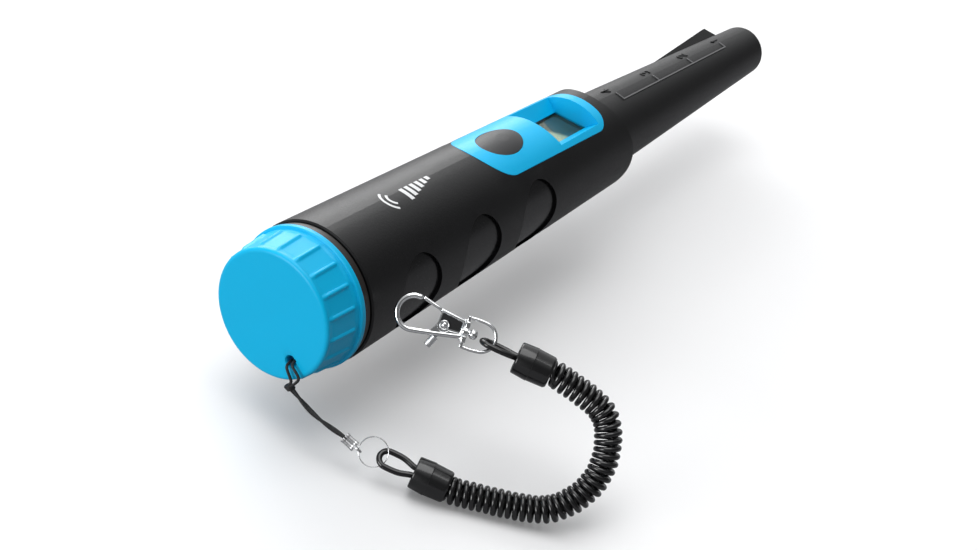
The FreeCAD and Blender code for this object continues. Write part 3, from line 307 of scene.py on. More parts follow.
def smudged(name, colour, roughness, scale=260.0, **settings):
    """Bright metal with soft handling marks and fine polishing lines."""
    look = Finish(name, colour, roughness, metallic=1.0, grain=5200.0, bump=0.03,
                  rough_spread=0.03, spread=0.05, **settings)
    tree = look.tree
    marks = add(tree, "TexNoise", {"Vector": look.place, "Scale": scale, "Detail": 6.0,
                                   "Roughness": 0.7})
    extra = add(tree, "MapRange", {"Value": marks.outputs["Fac"], "From Min": 0.5,
                                   "From Max": 0.75, "To Min": 0.0, "To Max": 0.16})
    look.set(Roughness=calc(tree, "ADD", look.rough, extra.outputs[0]))
    return look.material


GRIP_MIDDLES, GRIP_HALF_LENGTH, GRIP_HALF_HEIGHT = (42.0, 74.25, 106.5), 10.3, 12.3
GRIP_SIDE, GRIP_SMOOTHER, SHELL_BUMP = 8.0, 0.17, 0.25
# The second and third numbers bend and place the curved line between the light and dark parts of a
# painted reflection on the display.
LCD_DOT, LCD_REFLECTION_BEND, LCD_REFLECTION_EDGE = 0.35, 0.45, 0.6
BRAID_STRANDS, BRAID_PITCH, WINDING_PITCH = 3, 1.1, 0.4


def shell_material(name, with_grips):
    """Black moulded nylon: a fine spark texture, smoother inside the grip ovals."""
    look = Finish(name, (0.0042, 0.0042, 0.0048), 0.4, grain=2300.0, bump=SHELL_BUMP, spread=0.25,
                  rough_spread=0.05, broad=70.0, specular=0.34)
    tree = look.tree
    if not with_grips:
        return look.material
    parts = add(tree, "SeparateXYZ", {0: look.place}).outputs
    inside = None
    for middle in GRIP_MIDDLES:
        along = calc(tree, "DIVIDE", calc(tree, "SUBTRACT", parts[0], middle * MM),
                     GRIP_HALF_LENGTH * MM)
        up = calc(tree, "DIVIDE", parts[2], GRIP_HALF_HEIGHT * MM)
        reach = calc(tree, "ADD", calc(tree, "MULTIPLY", along, along),
                     calc(tree, "MULTIPLY", up, up))
        oval = calc(tree, "LESS_THAN", reach, 1.0)
        inside = oval if inside is None else calc(tree, "MAXIMUM", inside, oval)
    aside = calc(tree, "GREATER_THAN", calc(tree, "ABSOLUTE", parts[1]), GRIP_SIDE * MM)
    mask = calc(tree, "MULTIPLY", inside, aside)
    smoother = calc(tree, "SUBTRACT", look.rough, calc(tree, "MULTIPLY", mask, GRIP_SMOOTHER))
    strength = calc(tree, "SUBTRACT", SHELL_BUMP, calc(tree, "MULTIPLY", mask, 0.2))
    tree.links.new(strength, look.bump.inputs["Strength"])
    look.set(Roughness=smoother)
    return look.material


def blue_material(name, colour):
    """Glossy blue ABS with a faint glow through its thickness and light moulding swirls."""
    look = Finish(name, colour, 0.36, grain=1500.0, bump=0.03, spread=0.03, rough_spread=0.05,
                  broad=38.0, coat=0.05, specular=0.25)
    shader = look.shader
    shader.inputs["Subsurface Weight"].default_value = 0.04
    shader.inputs["Subsurface Radius"].default_value = (0.2, 0.6, 1.0)
    shader.inputs["Subsurface Scale"].default_value = 0.0012
    return look.material


def lens_material():
    """Clear window: see-through, with a thin reflection and faint haze."""
    look = Finish("clear_lens", (0.9, 0.95, 0.95), 0.05, grain=900.0, bump=0.01,
                  rough_spread=0.02)
    tree = look.tree
    clear = add(tree, "BsdfTransparent", {"Color": (0.93, 0.96, 0.95, 1.0)})
    gloss = add(tree, "BsdfAnisotropic", {"Color": (0.9, 0.95, 0.95, 1.0),
                                          "Roughness": look.rough})
    edge = add(tree, "Fresnel", {"IOR": 1.35})
    haze = calc(tree, "MULTIPLY_ADD", look.wide, 0.015, calc(tree, "MULTIPLY", edge.outputs[0], 0.2))
    mixed = add(tree, "MixShader", {0: haze, 1: clear.outputs[0], 2: gloss.outputs[0]})
    tree.links.new(mixed.outputs[0], tree.nodes["Material Output"].inputs["Surface"])
    return look.material


def lcd_material():
    """Reflective display: greenish grey glass with a painted reflection, light on one side of a curved
    line and dark on the other, and a fine pixel mesh.
    """
    look = Finish("lcd_glass", (0.5, 0.54, 0.36), 0.45, grain=1200.0, bump=0.01, spread=0.05,
                  specular=0.15)
    tree = look.tree
    low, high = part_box("lcd_panel")
    parts = add(tree, "SeparateXYZ", {0: look.place}).outputs
    length, width = high.x - low.x, high.y - low.y
    along = calc(tree, "DIVIDE", calc(tree, "SUBTRACT", parts[0], low.x), length)
    across = calc(tree, "DIVIDE", calc(tree, "SUBTRACT", parts[1], low.y), width)
    # Painted reflection: the panel is split along a curved line into a light part and a near-black
    # part, standing in for the surroundings mirrored in the window.
    curve = calc(tree, "MULTIPLY", calc(tree, "MULTIPLY", across, across), LCD_REFLECTION_BEND)
    line = calc(tree, "SUBTRACT", calc(tree, "ADD", along, curve), LCD_REFLECTION_EDGE)
    reflection_mask = add(tree, "MapRange", {"Value": line, "From Min": -0.03, "From Max": 0.05,
                                   "To Min": 0.0, "To Max": 1.0}).outputs[0]
    painted_reflection = add(tree, "Mix", {"Factor": reflection_mask, 6: look.colour, 7: (0.05, 0.056, 0.022, 1.0)},
               data_type="RGBA")
    rows = calc(tree, "SINE", calc(tree, "MULTIPLY", parts[0], 2 * math.pi / (LCD_DOT * MM)))
    columns = calc(tree, "SINE", calc(tree, "MULTIPLY", parts[1], 2 * math.pi / (LCD_DOT * MM)))
    mesh = calc(tree, "MULTIPLY_ADD", calc(tree, "MULTIPLY", rows, columns), 0.05, 0.95)
    dotted = add(tree, "VectorMath", {0: painted_reflection.outputs[2], "Scale": mesh}, operation="SCALE")
    look.set(**{"Base Color": dotted.outputs[0]})
    return look.material


def braid_material():
    """Thin braided cord: crossing strands in the bump and colour."""
    look = Finish("braided_cord", (0.012, 0.012, 0.013), 0.62, grain=6000.0, bump=0.2)
    tree = look.tree
    uv = add(tree, "TexCoord").outputs["UV"]
    parts = add(tree, "SeparateXYZ", {0: uv}).outputs
    turn = calc(tree, "MULTIPLY", parts[0], 2 * math.pi * BRAID_STRANDS)
    run = calc(tree, "MULTIPLY", parts[1], 2 * math.pi / BRAID_PITCH)
    first = calc(tree, "SINE", calc(tree, "ADD", turn, run))
    second = calc(tree, "SINE", calc(tree, "SUBTRACT", turn, run))
    weave = calc(tree, "MAXIMUM", first, second)
    height = calc(tree, "MULTIPLY_ADD", look.fine, 0.5, weave)
    bump = add(tree, "Bump", {"Height": height, "Strength": 0.5, "Distance": 0.00012})
    look.set(Normal=bump.outputs[0])
    return look.material


def winding_material():
    """Enamelled copper wire laid turn by turn."""
    look = Finish("copper_winding", (0.72, 0.3, 0.12), 0.3, metallic=1.0, grain=4000.0, bump=0.03)
    tree = look.tree
    along = add(tree, "SeparateXYZ", {0: look.place}).outputs[0]
    turns = calc(tree, "SINE", calc(tree, "MULTIPLY", along, 2 * math.pi / (WINDING_PITCH * MM)))
    bump = add(tree, "Bump", {"Height": turns, "Strength": 0.8, "Distance": 0.0001})
    look.set(Normal=bump.outputs[0])
    return look.material


def board_material():
    """Green solder mask with tracks under it and plated pads."""
    look = Finish("solder_mask", (0.012, 0.12, 0.045), 0.32, grain=1500.0, bump=0.04, coat=0.3)
    tree = look.tree
    cells = add(tree, "TexVoronoi", {"Vector": look.place, "Scale": 420.0}, distance="CHEBYCHEV")
    track = calc(tree, "LESS_THAN", cells.outputs["Distance"], 0.16)
    mixed = add(tree, "Mix", {"Factor": calc(tree, "MULTIPLY", track, 0.7), 6: look.colour,
                              7: (0.45, 0.4, 0.28, 1.0)}, data_type="RGBA")
    look.set(**{"Base Color": mixed.outputs[2]})
    return look.material


def foam_material():
    """Closed-cell foam with open pores on its cut faces."""
    look = Finish("cell_foam", (0.03, 0.03, 0.034), 0.85, grain=2500.0, bump=0.3)
    tree = look.tree
    cells = add(tree, "TexVoronoi", {"Vector": look.place, "Scale": 1400.0})
    bump = add(tree, "Bump", {"Height": cells.outputs["Distance"], "Strength": 0.7,
                              "Distance": 0.0004})
    look.set(Normal=bump.outputs[0])
    return look.material


SURFACES = {
    "black_shell": shell_material("textured_nylon", False),
    "blue_cap": blue_material("blue_abs", (0.0, 0.45, 0.77)),
    "blue_bezel": blue_material("blue_bezel_abs", (0.0, 0.46, 0.82)),
    "lens": lens_material(),
    "lcd": lcd_material(),
    "light_guide": Finish("milky_acrylic", (0.7, 0.71, 0.67), 0.3, coat=0.3).material,
    "button_rubber": Finish("button_rubber", (0.034, 0.034, 0.036), 0.5, grain=2600.0,
                            bump=0.12).material,
    "seal_rubber": Finish("seal_rubber", (0.02, 0.016, 0.014), 0.42, bump=0.06).material,
    "board": board_material(),
    "chip_black": Finish("chip_epoxy", (0.02, 0.02, 0.022), 0.45, grain=3200.0, bump=0.12).material,
    "tray_plastic": Finish("tray_plastic", (0.035, 0.035, 0.04), 0.45, bump=0.1).material,
    "steel": smudged("bright_steel", (0.62, 0.62, 0.63), 0.2),
    "chrome": smudged("polished_chrome", (0.78, 0.79, 0.8), 0.1),
    "aluminium": smudged("pressed_aluminium", (0.68, 0.68, 0.69), 0.27),
    "brass": smudged("turned_brass", (0.7, 0.5, 0.22), 0.25),
    "ferrite": Finish("sintered_ferrite", (0.035, 0.035, 0.038), 0.55, grain=2600.0,
                      bump=0.25).material,
    "copper_wire": winding_material(),
    "battery_case": Finish("battery_jacket", (0.05, 0.06, 0.08), 0.3, metallic=0.5,
                           bump=0.05).material,
    "foam": foam_material(),
    "wire_insulation": Finish("wire_insulation", (0.22, 0.012, 0.012), 0.4, bump=0.06).material,
    "cord_fabric": braid_material(),
    "coil_plastic": Finish("glossy_cord", (0.004, 0.004, 0.0045), 0.2, grain=1400.0, bump=0.05,
                           spread=0.2, rough_spread=0.05, coat=0.3).material,
}
GRIP_SHELL = shell_material("textured_nylon_grips", True)
PRINT_WHITE = Finish("white_print", (0.72, 0.73, 0.74), 0.5, grain=4200.0, bump=0.08).material
# Light grey for the rule's raised line and ticks: a painted highlight.
RULE_HIGHLIGHT = Finish("painted_rule_highlight", (0.13, 0.13, 0.135), 0.3, grain=2600.0, bump=0.05).material
# Near-black for the clasp body's recess: painted shade.
RECESS_SHADE = Finish("painted_recess_shade", (0.012, 0.012, 0.013), 0.5, metallic=0.4, grain=3000.0,
                   bump=0.2).material


def paint(obj, surface):
    """Give an object one surface, in every slot."""
    if not obj.data.materials:
        obj.data.materials.append(surface)
    for place in obj.material_slots:
        place.material = surface


def finish_piece(obj, surface, body, *replaced):
    """Paint a new piece, put it on its body and let it stand for CAD nodes."""
    paint(obj, SURFACES[surface])
    if body:
        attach(obj, body)
    if replaced:
        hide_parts(*replaced)
    return obj


for node_name, node in NODES.items():
    paint(node, SURFACES[SLOT_OF[node_name]])
paint(NODES["handle_barrel"], GRIP_SHELL)


# ---- screw cap ----------------------------------------------------------------------------------

CAP_FACE, CAP_SIDE, CAP_FLANGE = 19.4, 20.3, 21.33
CAP_FLANGE_START, CAP_LENGTH = 12.8, 14.8
RIB_COUNT, RIB_PHASE, RIB_HEIGHT = 19, 9.7, 0.46
RIB_START, RIB_END = 1.5, 11.6
NECK_RADIUS, NECK_END, BORE_RADIUS, CAP_FLOOR = 17.93, 27.5, 16.4, 3.0
THREAD_PITCH, THREAD_DEPTH = 3.0, 0.75
HOLE_ANGLE, HOLE_OFFSET, HOLE_RADIUS, HOLE_DEPTH = 139.0, 14.0, 1.75, 4.6
BOSS_RADIUS, BOSS_END, BAR_DEPTH, BAR_RADIUS = 2.9, 5.6, 2.3, 0.5
SIDE_START, FACE_FILLET, ROW_STEP, THREAD_STEP = 0.9, 1.4, 0.28, 0.25
RIB_CORE, RIB_FOOT = 0.32, 0.8


def cap_radius(x, radius, angle):
    """Skirt with flat panels between slim ribs, and a screw thread cut in the neck."""
    if radius > BORE_RADIUS + 0.5 and x > CAP_LENGTH + 0.3:
        turns = (x / THREAD_PITCH - angle / (2 * math.pi)) % 1.0
        fade = smooth_step(CAP_LENGTH + 2.9, CAP_LENGTH + 4.0, x)
        fade *= 1 - smooth_step(NECK_END - 1.6, NECK_END - 0.6, x)
        groove = smooth_step(0.28, 0.5, abs(turns - 0.5) * 2)
        return radius - THREAD_DEPTH * groove * fade
    if not (SIDE_START < x < CAP_FLANGE_START + 0.01 and radius > CAP_FACE - 1.0):
        return radius
    half = math.pi / RIB_COUNT
    from_rib = (angle - math.radians(RIB_PHASE)) % (2 * half)
    if from_rib > half:
        from_rib -= 2 * half
    panel = abs(from_rib) - half
    fade = smooth_step(SIDE_START, 2.0, x) * (1 - smooth_step(RIB_END, RIB_END + 0.8, x))
    flat = radius * math.cos(half) / math.cos(panel) if fade else radius
    away = abs(from_rib) * radius
    end = max(0.0, RIB_START + 0.6 - x, x - RIB_END + 0.6) / 0.6
    rib_away = math.hypot(away, 0.75 * end)
    rib = RIB_HEIGHT * (1 - smooth_step(RIB_CORE, RIB_FOOT, rib_away))
    return radius + (flat - radius) * fade + rib


def cap_rows():
    """The cap's closed profile, from the face's middle round to the floor's middle."""
    outside = rounded([(0, 1.0, 0), (0, CAP_FACE, FACE_FILLET), (2.6, CAP_FACE + 0.15, 0)], 9)
    outside.insert(1, (0, 9.0))
    skirt = []
    x = 2.75
    while x < RIB_END + 0.9:
        skirt.append((x, CAP_FACE + (CAP_SIDE - CAP_FACE) * x / CAP_FLANGE_START))
        x += ROW_STEP
    flange = rounded([(RIB_END + 1.0, CAP_SIDE, 0), (CAP_FLANGE_START + 0.1, CAP_SIDE + 0.05, 0.15),
                      (CAP_FLANGE_START + 0.2, CAP_FLANGE, 0.45), (CAP_LENGTH, CAP_FLANGE, 0.5),
                      (CAP_LENGTH, NECK_RADIUS + 0.3, 0)])
    neck = [(CAP_LENGTH, NECK_RADIUS)]
    x = CAP_LENGTH + 0.4
    while x < NECK_END - 0.3:
        neck.append((x, NECK_RADIUS))
        x += THREAD_STEP
    inside = rounded([(NECK_END - 0.3, NECK_RADIUS, 0), (NECK_END, NECK_RADIUS - 0.3, 0.1),
                      (NECK_END, BORE_RADIUS, 0.2), (CAP_FLOOR, BORE_RADIUS, 0.8),
                      (CAP_FLOOR, 1.0, 0)])
    return outside + skirt + flange + neck + inside


def end_cap():
    """The cap with its lanyard hole bored through the face and the bar across the hole."""
    verts, faces = lathe(cap_rows(), RIB_COUNT * 20, cap_radius)
    cap = mesh_object("screw_cap", verts, flipped(faces), sharp=40)
    turn = math.radians(HOLE_ANGLE)
    middle = Vector((0, -HOLE_OFFSET * math.sin(turn), HOLE_OFFSET * math.cos(turn)))
    out = Vector((0, -math.sin(turn), math.cos(turn)))
    bore = rounded([(-3, 0.4, 0), (-3, HOLE_RADIUS + 0.35, 0), (0, HOLE_RADIUS + 0.35, 0.3),
                    (0.5, HOLE_RADIUS, 0.3), (HOLE_DEPTH, HOLE_RADIUS, 0), (HOLE_DEPTH, 0.4, 0)])
    verts, faces = lathe(bore, 40)
    cutter = mesh_object("cap_cutter", verts, flipped(faces), Matrix.Translation(middle))
    boss_rows = [(CAP_FLOOR - 0.5, 0.4), (CAP_FLOOR - 0.5, BOSS_RADIUS), (BOSS_END, BOSS_RADIUS),
                 (BOSS_END, 0.4)]
    verts, faces = lathe(boss_rows, 40)
    boss = mesh_object("cap_boss", verts, flipped(faces), Matrix.Translation(middle))
    for tool, operation in ((boss, "UNION"), (cutter, "DIFFERENCE")):
        modifier = cap.modifiers.new("bore", "BOOLEAN")
        modifier.operation, modifier.object, modifier.solver = operation, tool, "EXACT"
    bpy.context.view_layer.update()
    shape = bpy.data.meshes.new_from_object(
        cap.evaluated_get(bpy.context.evaluated_depsgraph_get()))
    cap.modifiers.clear()
    cap.data = shape
    cap.modifiers.new("flat_face", "WEIGHTED_NORMAL").keep_sharp = True
    for tool in (cutter, boss):
        bpy.data.objects.remove(tool)
    bar_middle = middle + Vector((BAR_DEPTH, 0, 0))
    reach = HOLE_RADIUS + 0.4
    bar = sweep([bar_middle - out * reach, bar_middle - out, bar_middle + out,
                 bar_middle + out * reach], BAR_RADIUS, 14)
    pin = mesh_object("cap_eye_bar", *bar[:2], uvs=bar[2])
    finish_piece(cap, "blue_cap", "cap", "end_cap")
    finish_piece(pin, "blue_cap", "cap")


end_cap()


# ---- lanyard: its own plane, X right, Y up, Z towards the viewer, origin at the knot --------------

TOWARD = Vector(JOINTS["cord_swing"]["axis"]).normalized()
UP = Vector(JOINTS["coil_bend"]["axis"]).normalized()
RIGHT = UP.cross(TOWARD).normalized()
PIVOT = Vector(JOINTS["cord_swing"]["pos_m"]) / MM
KNOT = PIVOT - Vector((0.6, 0, 0))
CORD_CLEAR, LOOP_CORD, STRAND, STRAND_TWIST = 1.12, 0.42, 0.46, 0.16
WRAP_STEPS, WRAP_TURN, WRAP_REACH = 76, 25, 0.72
PLANE = Matrix.Translation(PIVOT) @ Matrix((RIGHT, UP, TOWARD)).transposed().to_4x4()
FERRULE_ANGLE, FERRULE_LENGTH, FERRULE_RADIUS = -25.3, 10.6, 4.9
NEAR, FAR = (34.07, -23.3), (62.27, 8.17)
CRIMP, CRIMP_ANGLE, CRIMP_LENGTH = (16.6, -15.2), -42.7, 4.2
CRIMP_RADIUS, CRIMP_WALL, CRIMP_EYE, CRIMP_WIRE = 0.85, 0.2, 1.1, 0.3
RING, RING_RADIUS, RING_WIRE = (23.1, -17.95), 4.17, 0.14
LOOP_LENGTH, LOOP_HALF, LOOP_WIRE = 10.2, 2.5, 0.85
NEAR_TILT, FAR_TILT = 32.0, 80.0
COIL_MIDDLE, COIL_BEND = (68.4, -14.6), 19.1
COIL_RADIUS, COIL_WIRE, COIL_PITCH = 3.95, 0.76, 2.0


def in_plane(across, up, angle=0.0, tilt=0.0):
    """A place in the lanyard's plane, turned in that plane and tilted about its own X."""
    turn = Matrix.Rotation(math.radians(angle), 4, "Z") @ Matrix.Rotation(math.radians(tilt), 4, "X")
    return PLANE @ Matrix.Translation(Vector((across, up, 0))) @ turn


def cord_points():
    """The loop in the row frame: over the face's edge, in at the hole, round the bar, back."""
    turn = math.radians(HOLE_ANGLE)
    out = Vector((0, -math.sin(turn), math.cos(turn)))
    side = Vector((0, -math.cos(turn), -math.sin(turn)))
    back = Vector((-1, 0, 0))
    hole = out * HOLE_OFFSET
    edge = out * (CAP_FACE - 0.4) + back * 1.3
    mouth = hole + out * 1.0 + back * 1.1
    inner = hole + out * 0.1 - back * 0.9
    beside = hole - back * BAR_DEPTH
    behind = hole - back * (BAR_DEPTH + CORD_CLEAR)
    return [KNOT, edge + side * 1.5, mouth + side * 1.15, inner + side * 1.04,
            beside + side * CORD_CLEAR, behind, beside - side * CORD_CLEAR,
            inner - side * 1.04, mouth - side * 1.15, edge - side * 1.5]


def lanyard_cord():
    """Looped thin cord, a wrapped knot of three turns, and the doubled run to the crimp."""
    loop = sweep(curve_through(cord_points(), 10, closed=True), LOOP_CORD, 12, closed=True)
    along = Vector((math.cos(math.radians(CRIMP_ANGLE)), math.sin(math.radians(CRIMP_ANGLE)), 0))
    end = Vector((*CRIMP, 0)) - along * (CRIMP_LENGTH / 2 - 0.5)
    sag = end * 0.5 - Vector((0.6, 0.9, 0))
    centre = curve_through([Vector(), sag, end], 24)
    strands = []
    for side in (0, math.pi):
        points = []
        for number, point in enumerate(centre):
            spin = side + number * STRAND_TWIST
            points.append(PLANE @ (point + Vector((0.2 * math.cos(spin), 0.2 * math.cos(spin),
                                                   0.3 * math.sin(spin)))))
        strands.append(sweep(points, STRAND, 12))
    wrap = []
    for step in range(WRAP_STEPS):
        spin = 2 * math.pi * step / WRAP_TURN
        wrap.append(PLANE @ Vector((WRAP_REACH * math.cos(spin) - 0.5 + 0.014 * step,
                                    0.5 * math.cos(spin + 0.8) + 0.5 - 0.016 * step,
                                    WRAP_REACH * math.sin(spin))))
    knot = sweep(wrap, LOOP_CORD, 12)
    verts, faces, uvs = join(loop, knot, *strands)
    cord = mesh_object("thin_cord", verts, faces, uvs=uvs, sharp=60)
    finish_piece(cord, "cord_fabric", None, "lanyard_cord")
    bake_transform(cord)


def crimp():
    """Two pressed tubes side by side, rolled at both ends, with the wire eye for the ring."""
    half, radius, wall = CRIMP_LENGTH / 2, CRIMP_RADIUS, CRIMP_WALL
    profile = rounded([(-half, radius - wall, 0), (-half, radius, 0.12), (-half + 0.7, radius, 0.1),
                       (-half + 1.0, radius - 0.08, 0.1), (half - 1.0, radius - 0.08, 0.1),
                       (half - 0.7, radius, 0.1), (half, radius, 0.12), (half, radius - wall, 0)])
    rows = [(-half + 0.5, 0.1), (-half + 0.5, radius - wall)] + profile
    rows += [(half - 0.5, radius - wall), (half - 0.5, 0.1)]
    tubes = []
    for side in (-1, 1):
        verts, faces = lathe(rows, 28)
        shift = Vector((0, side * radius * 0.86, 0))
        tubes.append(([Vector(v) + shift for v in verts], flipped(faces)))
    middle = half + CRIMP_EYE - CRIMP_WIRE
    circle = [Vector((middle + CRIMP_EYE * math.cos(a), 0, CRIMP_EYE * math.sin(a)))
              for a in (2 * math.pi * k / 36 for k in range(36))]
    eye = sweep(circle, CRIMP_WIRE, 12, closed=True)
    verts, faces, uvs = join(*tubes, eye)
    piece = mesh_object("crimp_tubes", verts, faces, in_plane(*CRIMP, CRIMP_ANGLE), uvs)
    finish_piece(piece, "aluminium", "cord", "crimp_sleeve")


def split_ring():
    """Thin wire ring of two turns, pressed flat on each other."""
    points = []
    steps = 150
    for step in range(steps + 1):
        share = step / steps
        angle = 4 * math.pi * share - 0.6
        lift = RING_WIRE * math.tanh((share - 0.5) * 14)
        points.append(Vector((RING_RADIUS * math.cos(angle), RING_RADIUS * math.sin(angle), lift)))
    verts, faces, uvs = sweep(points, RING_WIRE, 10)
    piece = mesh_object("wire_ring", verts, faces, in_plane(*RING), uvs)
    finish_piece(piece, "steel", "ring", "split_ring")


def cord_loop(name, node, body, place, tilt):
    """Plastic cord bent to a long loop, with both legs running into the ferrule."""
    reach = LOOP_LENGTH - LOOP_HALF
    points = [Vector((-0.9, LOOP_HALF * 0.5, 0)), Vector((0.5, LOOP_HALF * 0.55, 0)),
              Vector((reach * 0.5, LOOP_HALF * 0.95, 0))]
    for step in range(7):
        angle = math.pi * (0.5 - step / 6)
        points.append(Vector((reach + LOOP_HALF * math.cos(angle),
                              LOOP_HALF * math.sin(angle), 0)))
    points += [Vector((reach * 0.5, -LOOP_HALF * 0.95, 0)), Vector((0.5, -LOOP_HALF * 0.55, 0)),
               Vector((-0.9, -LOOP_HALF * 0.5, 0))]
    verts, faces, uvs = sweep(curve_through(points, 8), LOOP_WIRE, 16)
    piece = mesh_object(name, verts, faces, in_plane(*place, 180 + FERRULE_ANGLE, tilt), uvs,
                        sharp=60)
    finish_piece(piece, "coil_plastic", body, node)


def ferrule(name, node, body, place):
    """Turned ferrule with a step line round its middle and a dished loop end."""
    radius, length = FERRULE_RADIUS, FERRULE_LENGTH
    rows = rounded([
        (0.9, 0.3, 0), (0.9, 3.0, 0.2), (0.15, 3.4, 0.25), (0.15, radius * 0.93, 0.45),
        (length * 0.46, radius, 0.08), (length * 0.46 + 0.12, radius * 0.975, 0.05),
        (length - 0.6, radius * 0.93, 0.25), (length - 0.02, radius * 0.85, 0.2),
        (length - 0.02, 3.4, 0.2), (length - 0.8, 3.0, 0.2), (length - 0.8, 0.3, 0)])
    verts, faces = lathe(rows, 72)
    piece = mesh_object(name, verts, flipped(faces), in_plane(*place, FERRULE_ANGLE), sharp=34)
    finish_piece(piece, "coil_plastic", body, node)


def coil_path():
    """Centreline of the coil in the plane, from inside the near ferrule to the far one."""
    turn = math.radians(FERRULE_ANGLE)
    ahead = Vector((math.cos(turn), math.sin(turn), 0))
    near = Vector((*NEAR, 0)) + ahead * FERRULE_LENGTH
    far = Vector((*FAR, 0)) + ahead * FERRULE_LENGTH
    middle = Vector((*COIL_MIDDLE, 0))
    points = [near - ahead * 1.2, near + ahead * 0.1, near + ahead * 3]
    for angle in (-95, -65, -35, -5, 25):
        points.append(middle + Vector((math.cos(math.radians(angle)),
                                       math.sin(math.radians(angle)), 0)) * COIL_BEND)
    points += [far + ahead * 3, far + ahead * 0.1, far - ahead * 1.2]
    return curve_through(points, 24)


def coil_cord():
    """Glossy plastic cord wound as a close helix along the bent centreline."""
    path = coil_path()
    lengths = [0.0]
    for before, after in zip(path, path[1:]):
        lengths.append(lengths[-1] + (after - before).length)
    total, steps_per_turn = lengths[-1], 22
    turns = round(total / COIL_PITCH)
    points, place = [], 0
    for step in range(turns * steps_per_turn + 1):
        run = total * step / (turns * steps_per_turn)
        while place < len(path) - 2 and lengths[place + 1] < run:
            place += 1
        share = (run - lengths[place]) / (lengths[place + 1] - lengths[place])
        centre = path[place].lerp(path[place + 1], share)
        tangent = (path[place + 1] - path[place]).normalized()
        side = Vector((0, 0, 1)).cross(tangent)
        spin = 2 * math.pi * step / steps_per_turn
        reach = COIL_RADIUS - COIL_WIRE + 0.05 * math.sin(run * 0.9)
        points.append(centre + side * (math.cos(spin) * reach)
                      + Vector((0, 0, math.sin(spin) * reach)))
    verts, faces, uvs = sweep(points, COIL_WIRE, 12)
    piece = mesh_object("coiled_cord", verts, faces, PLANE, uvs, sharp=60)
    finish_piece(piece, "coil_plastic", None, "coil_cord")
    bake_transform(piece)


# ---- clasp: its own frame, X to the hook's end, Y to its lower side, Z towards the viewer -----------

CLASP_PLACE = in_plane(48.3, 15.0, 180 - 18.4)
EYE_PLACE = in_plane(48.3, 15.0, -18.4)
HOOK_MIDDLE, HOOK_BEND, HOOK_WIRE = (15.0, -0.6), 4.75, 0.75
RIVET = (6.0, 0.0)
EYE_HALF, EYE_LENGTH, EYE_WIRE = 4.15, 8.7, 0.5


def prism(corners, low, high):
    """An upright flat body with the given outline."""
    count = len(corners)
    verts = [Vector((x, y, z)) for z in (low, high) for x, y in corners]
    faces = [tuple(reversed(range(count))), tuple(count + k for k in range(count))]
    for k in range(count):
        after = (k + 1) % count
        faces.append((k, after, count + after, count + k))
    return verts, faces


def moved(body, place):
    """A body put through a matrix."""
    return ([place @ Vector(v) for v in body[0]],) + tuple(body[1:])


def upright(rows, sides, centre, height=0.0):
    """A turned body whose axis stands along Z at a place in the clasp's plane."""
    place = Matrix.Translation(Vector((*centre, height))) @ Matrix.Rotation(-math.pi / 2, 4, "Y")
    return moved(lathe(rows, sides), place)


def soften_edges(obj, width, angle=38.0):
    """Small rounded edges that catch the light."""
    modifier = obj.modifiers.new("edge", "BEVEL")
    modifier.width, modifier.segments = width * MM, 3
    modifier.limit_method, modifier.angle_limit = "ANGLE", math.radians(angle)
    modifier.use_clamp_overlap = True


def hook_curve():
    """Centreline of the hook: along the body's lower edge, round the eye, to the nose."""
    points = [Vector((1.2, 1.62, 0)), Vector((4.6, 2.3, 0)), Vector((9.4, 3.25, 0))]
    for angle in (104, 85, 65, 45, 25, 5, -15, -35, -55, -75, -95):
        turn = math.radians(angle)
        points.append(Vector((HOOK_MIDDLE[0] + HOOK_BEND * math.cos(turn),
                              HOOK_MIDDLE[1] + HOOK_BEND * math.sin(turn), 0)))
    return curve_through(points, 7)


